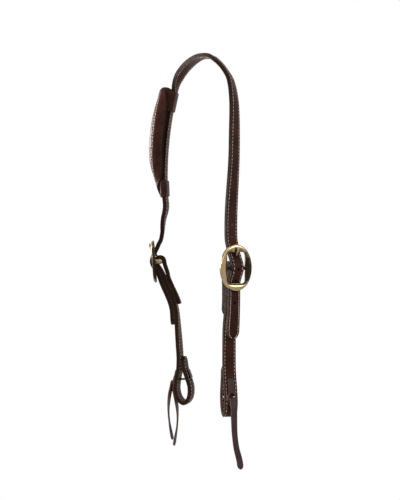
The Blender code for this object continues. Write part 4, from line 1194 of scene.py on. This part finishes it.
def makeBuckle(side):
    axes = side["axes"]
    knots = np.array(rim["section"])
    smooth = smoothRoute(np.vstack([knots[-3:], knots, knots[:3]]), 2, 4)
    smooth = smooth[12:12 + 4 * len(knots)]
    angle = 2 * pi * np.arange(rim["around"]) / rim["around"]
    inner = windowEdge(angle)
    steep = 1 / np.hypot(np.cos(angle) / (buckle["width"] / 2),
                         np.sin(angle) / (buckle["height"] / 2))
    outer = headings(angle) * steep[:, None]
    share = (1 + smooth[:, 0]) / 2
    flat = inner[:, None] + (outer - inner)[:, None] * share[None, :, None]
    out = buckle["setout"] + smooth[:, 1] * buckle["rim"] / 2 + 0 * flat[..., 0]
    ring = np.stack([out, flat[..., 0], flat[..., 1]], axis=-1)
    parts = [(ring[:, ::-1], True)]
    # painted shade: tarnish colour added on one side of the rim, standing in for a dark reflection
    # there
    shade = rim["paintedShadeShare"] * np.clip(-np.cos(angle - radians(rim["paintedLightWay"])), 0, 1) ** 2
    patina_and_shade = [(np.clip(smooth[::-1, 2], 0, 1) + shade[:, None]).ravel()]
    half = buckle["lugThickness"] / 2
    place = buckle["windowWidth"] / 2 + buckle["lugInset"] + half
    for end in (1, -1):
        rings = []
        for shrink, away in rim["lugRounding"]:
            edge = slotOutline(buckle["lugHeight"] / 2 - shrink,
                               buckle["setout"] - buckle["lugHeight"] / 2, 32)
            along = 0 * edge[:, 0] + end * place + away * half
            rings.append(np.stack([edge[:, 1], along, edge[:, 0]], axis=1))
        parts.append((np.array(rings), False))
        patina_and_shade.append(np.full(parts[-1][0][..., 0].size, brass["lug"]))
    points, faces = joinedRings(parts)
    piece = makePiece(side["name"] + "_buckle_rim", placed(axes, points), faces, [looks["brass"]],
                      {"patina_and_shade": np.concatenate(patina_and_shade)}, sharp=50.0)
    fitted(piece, "crown", side["name"] + "_buckle_frame")

    reach = place + half + buckle["barEnd"]
    dome = quarterTurn(5)
    radius = np.concatenate([np.sin(dome + 0.02), [1.0, 1.0], np.sin(dome[::-1] + 0.02)])
    radius = buckle["barRadius"] * np.clip(radius, 0.05, 1.0)
    inward = rim["barRounding"] * (1 - np.cos(dome))
    along = np.concatenate([inward - reach, [-reach / 2, reach / 2], reach - inward[::-1]])
    turn = fullTurn(24)
    rod = np.stack([radius[:, None] * np.cos(turn), along[:, None] + 0 * turn,
                    -radius[:, None] * np.sin(turn)], axis=-1)
    piece = makePiece(side["name"] + "_buckle_crossbar", placed(axes, rod),
                      ringFaces(*rod.shape[:2]), [looks["brass"]],
                      {"patina_and_shade": np.full(rod[..., 0].size, brass["bar"])}, sharp=50.0)
    fitted(piece, "crown", side["name"] + "_buckle_bar")
    makeTongue(side)


def makeTongue(side):
    # Shank: a round rod along the tongue's line that swells and ends in a dome.
    # Eye: a rounded ring section carried round the bar.
    line = thinned(tongueLine(), 2, buckle["tongueStep"], buckle["tongueBend"])
    run = lengthsOf(line)
    share = run / run[-1]
    size = buckle["tongueRadius"] + (buckle["tongueTip"] - buckle["tongueRadius"]) * share
    left = np.clip((run[-1] - run) / size, 0.0, 1.0)
    size = size * np.sqrt(np.clip(1 - (1 - left) ** 2, 0.003, 1.0))
    along = tangentsOf(line)
    turn = fullTurn(20)
    out = line[:, :1] - along[:, 1:] * size[:, None] * np.cos(turn)
    up = line[:, 1:] + along[:, :1] * size[:, None] * np.cos(turn)
    shank = np.stack([out, size[:, None] * np.sin(turn), up], axis=-1)
    bore = buckle["barRadius"] + fits["seatGap"]
    middle = (bore + buckle["eyeRadius"]) / 2
    thick, half = (buckle["eyeRadius"] - bore) / 2, buckle["eyeWidth"] / 2
    x, y = squared(fullTurn(16), 0.6)
    lathe = middle + thick * x
    spin = fullTurn(40)[:, None]
    eye = np.stack([lathe * np.cos(spin), half * y + 0 * spin, lathe * np.sin(spin)], axis=-1)
    points, faces = joinedRings([(shank[:, ::-1], False), (eye, True)])
    worn = np.clip(share * 1.6 - 0.5, 0, 1)
    patina_and_shade = np.concatenate([np.repeat(brass["shank"] * (1 - worn), len(turn)),
                             np.full(eye[..., 0].size, brass["eye"])])
    piece = makePiece(side["name"] + "_buckle_prong", placed(side["axes"], points), faces,
                      [looks["brass"]], {"patina_and_shade": patina_and_shade}, sharp=60.0)
    fitted(piece, side["name"] + "_tongue", side["name"] + "_buckle_tongue")


makeBuckle(near)
makeBuckle(off)
print("buckles made")


def tieLine(side):
    # Side view of a tie: eye end, up the face, in, down behind, out to where its eye lies.
    line = smoothRoute(cheekLine(side)[::4], 2)
    bottom, start = int(np.argmin(line[:, 1])), int(np.argmax(line[:, 1]))
    step = strapThickness / 2 + lace["gap"] + lace["thickness"] / 2
    face = sideOffset(line[start:bottom], step)[::-1]
    rear = sideOffset(line[bottom:][::-1], -step)
    upper, lower = [holeHeight(side, share) for share in side["holes"]]
    bend, slant = lace["bend"], cos(radians(45))

    def outAt(part, height):
        order = np.argsort(part[:, 1])
        return float(np.interp(height, part[order, 1], part[order, 0]))

    lowEnd = lower - lace["eyeLength"] / 2 - lace["end"]
    rows = [(outAt(face, height), height) for height in np.linspace(lowEnd, upper - bend, 9)]
    x = rows[-1][0]
    rows += [(x - bend * (1 - slant), upper - bend * (1 - slant)), (x - bend, upper)]
    y = outAt(rear, upper - bend)
    rows += [((x + y) / 2, upper), (y + bend, upper),
             (y + bend * (1 - slant), upper - bend * (1 - slant))]
    rows += [(outAt(rear, height), height) for height in np.linspace(upper - bend, lower + bend, 4)]
    y = rows[-1][0]
    rows += [(y + bend * (1 - slant), lower + bend * (1 - slant)), (y + bend, lower)]
    exitOut = outAt(face, lower) + lace["thickness"] * lace["exitShare"]
    rows += [(y + bend + (exitOut - y - bend) * share, lower) for share in (0.25, 0.5, 0.75, 1.0)]
    return smoothRoute(rows, 2), lower


def makeTie(side):
    # A sheet of six columns along the tie, open between the inner two at the eye.
    dense, lower = tieLine(side)
    flat = thinned(dense, 2, lace["step"], lace["stepBend"])
    strap = Strap(np.hstack(turnedPlaces(side, flat)))
    high = holeHeight(side, side["holes"][0]) - lace["bend"]
    upward = np.arange(len(flat)) < np.argmax(flat[:, 1] > high)
    centre = np.interp(lower, flat[upward, 1], strap.run[upward])
    close = np.clip(1 - ((strap.run - centre) / (lace["eyeLength"] / 2)) ** 2, 0, 1) * upward
    opening = lace["eyeOpening"] / 2 * np.sqrt(close)
    border = (lace["eyeWidth"] - lace["eyeOpening"]) / 2
    outer = np.maximum(lace["width"] / 2, opening + border * (close > 0))
    inner = np.where(close > 0, np.maximum(opening, lace["gap"]), lace["width"] / 6)
    reach = np.stack([outer, (outer + inner) / 2, inner], axis=1)
    reach = np.hstack([-reach, reach[:, ::-1]])
    points = strap.at(strap.run[:, None], reach, 0.0)
    corner = np.arange(points.shape[0] * 6).reshape(-1, 6)
    quads = np.stack([corner[:-1, :-1], corner[:-1, 1:], corner[1:, 1:], corner[1:, :-1]], axis=-1)
    kept = np.ones(quads.shape[:2], dtype=bool)
    kept[:, 2] = ~((close[:-1] > 0) & (close[1:] > 0))
    raw = np.array(lace["rawAcross"]) * (close > 0)[:, None]
    piece = makePiece(side["name"] + "_tie_strip", points, quads[kept].tolist(), [looks["lace"]],
                      {"edge": raw})
    wall = piece.modifiers.new("thickness", "SOLIDIFY")
    wall.thickness = lace["thickness"]
    wall.offset = 0.0
    wall.use_even_offset = True
    worn = piece.modifiers.new("worn corners", "BEVEL")
    worn.width = lace["worn"]
    worn.segments = 2
    worn.limit_method = "ANGLE"
    worn.angle_limit = radians(50)
    fitted(piece, side["name"] + "_cheek", side["name"] + "_tie_lace")


makeTie(near)
makeTie(off)
print("lace ties made")

studio = {
    "floorDrop": -1.0, "floorRadius": 1.35, "floorCorners": 96, "cloud": (3.0, 2.0),
    "paper": (0.86, 0.90), "glow": 0.8, "ambient": 0.33,
    # name: (place, size, watts, colour)
    "lamps": {
        "top_box": ((0.45, -0.35, 1.30), 0.9, 6.0, (1.0, 0.99, 1.0)),
        "left_box": ((-0.75, -1.45, 0.02), 0.55, 34.0, (1.0, 0.97, 1.0)),
        "right_box": ((1.35, 0.95, 0.35), 0.6, 9.0, (0.98, 0.98, 1.0)),
        "ear_box": ((-1.00, -0.44, -0.02), 0.42, 24.0, (1.0, 0.96, 0.98)),
        "front_fill": ((1.5, -0.95, 0.60), 1.1, 8.0, (1.0, 0.99, 0.98)),
    },
    "aim": (0.0, 0.0, -0.25),
}


def makeStudio():
    scene = bpy.context.scene
    scene.view_settings.view_transform = "Standard"
    scene.world = bpy.data.worlds.new("studio")
    work = Finish(scene.world)

    def seen():
        # 1 for camera, glossy and transmission rays.
        rays = [work.node("LightPath", output=number) for number in (0, 3, 6)]
        return rays[0].worked("MAXIMUM", rays[0], rays[1].worked("MAXIMUM", rays[1], rays[2]))

    grey = (studio["ambient"],) * 3
    white = work.node("Background", values={"Color": (1.0, 1.0, 1.0, 1.0), "Strength": 1.0})
    dim = work.node("Background", values={"Color": (*grey, 1.0), "Strength": 1.0})
    shader = work.node("MixShader", values={0: seen(), 1: dim, 2: white})
    work.node("OutputWorld", values={"Surface": shader})

    floor, work = newMaterial("pale_floor")
    place = work.objectPlace()
    cloud = work.noise(place, *studio["cloud"])
    paper = work.mixed(cloud, *[(tone,) * 3 for tone in studio["paper"]])
    matt = work.node("BsdfDiffuse", values={"Color": paper})
    glow = work.node("Emission", values={"Color": (1.0, 1.0, 1.0, 1.0), "Strength": 1.0})
    shader = work.node("MixShader", values={0: seen() * studio["glow"], 1: matt, 2: glow})
    work.node("OutputMaterial", values={"Surface": shader})
    edge = roundOutline(studio["floorRadius"], studio["floorCorners"])
    disc = np.insert(edge, 2, studio["floorDrop"], axis=1)
    makePiece("floor", disc, [list(range(len(disc)))], [floor])

    for name, (place, size, watts, colour) in studio["lamps"].items():
        light = bpy.data.lights.new(name, "AREA")
        light.size, light.energy, light.color = size, watts, colour
        lamp = bpy.data.objects.new(name, light)
        lamp.location = place
        aim = Vector(studio["aim"]) - Vector(place)
        lamp.rotation_euler = aim.to_track_quat("-Z", "Y").to_euler()
        scene.collection.objects.link(lamp)


makeStudio()
print("studio made")
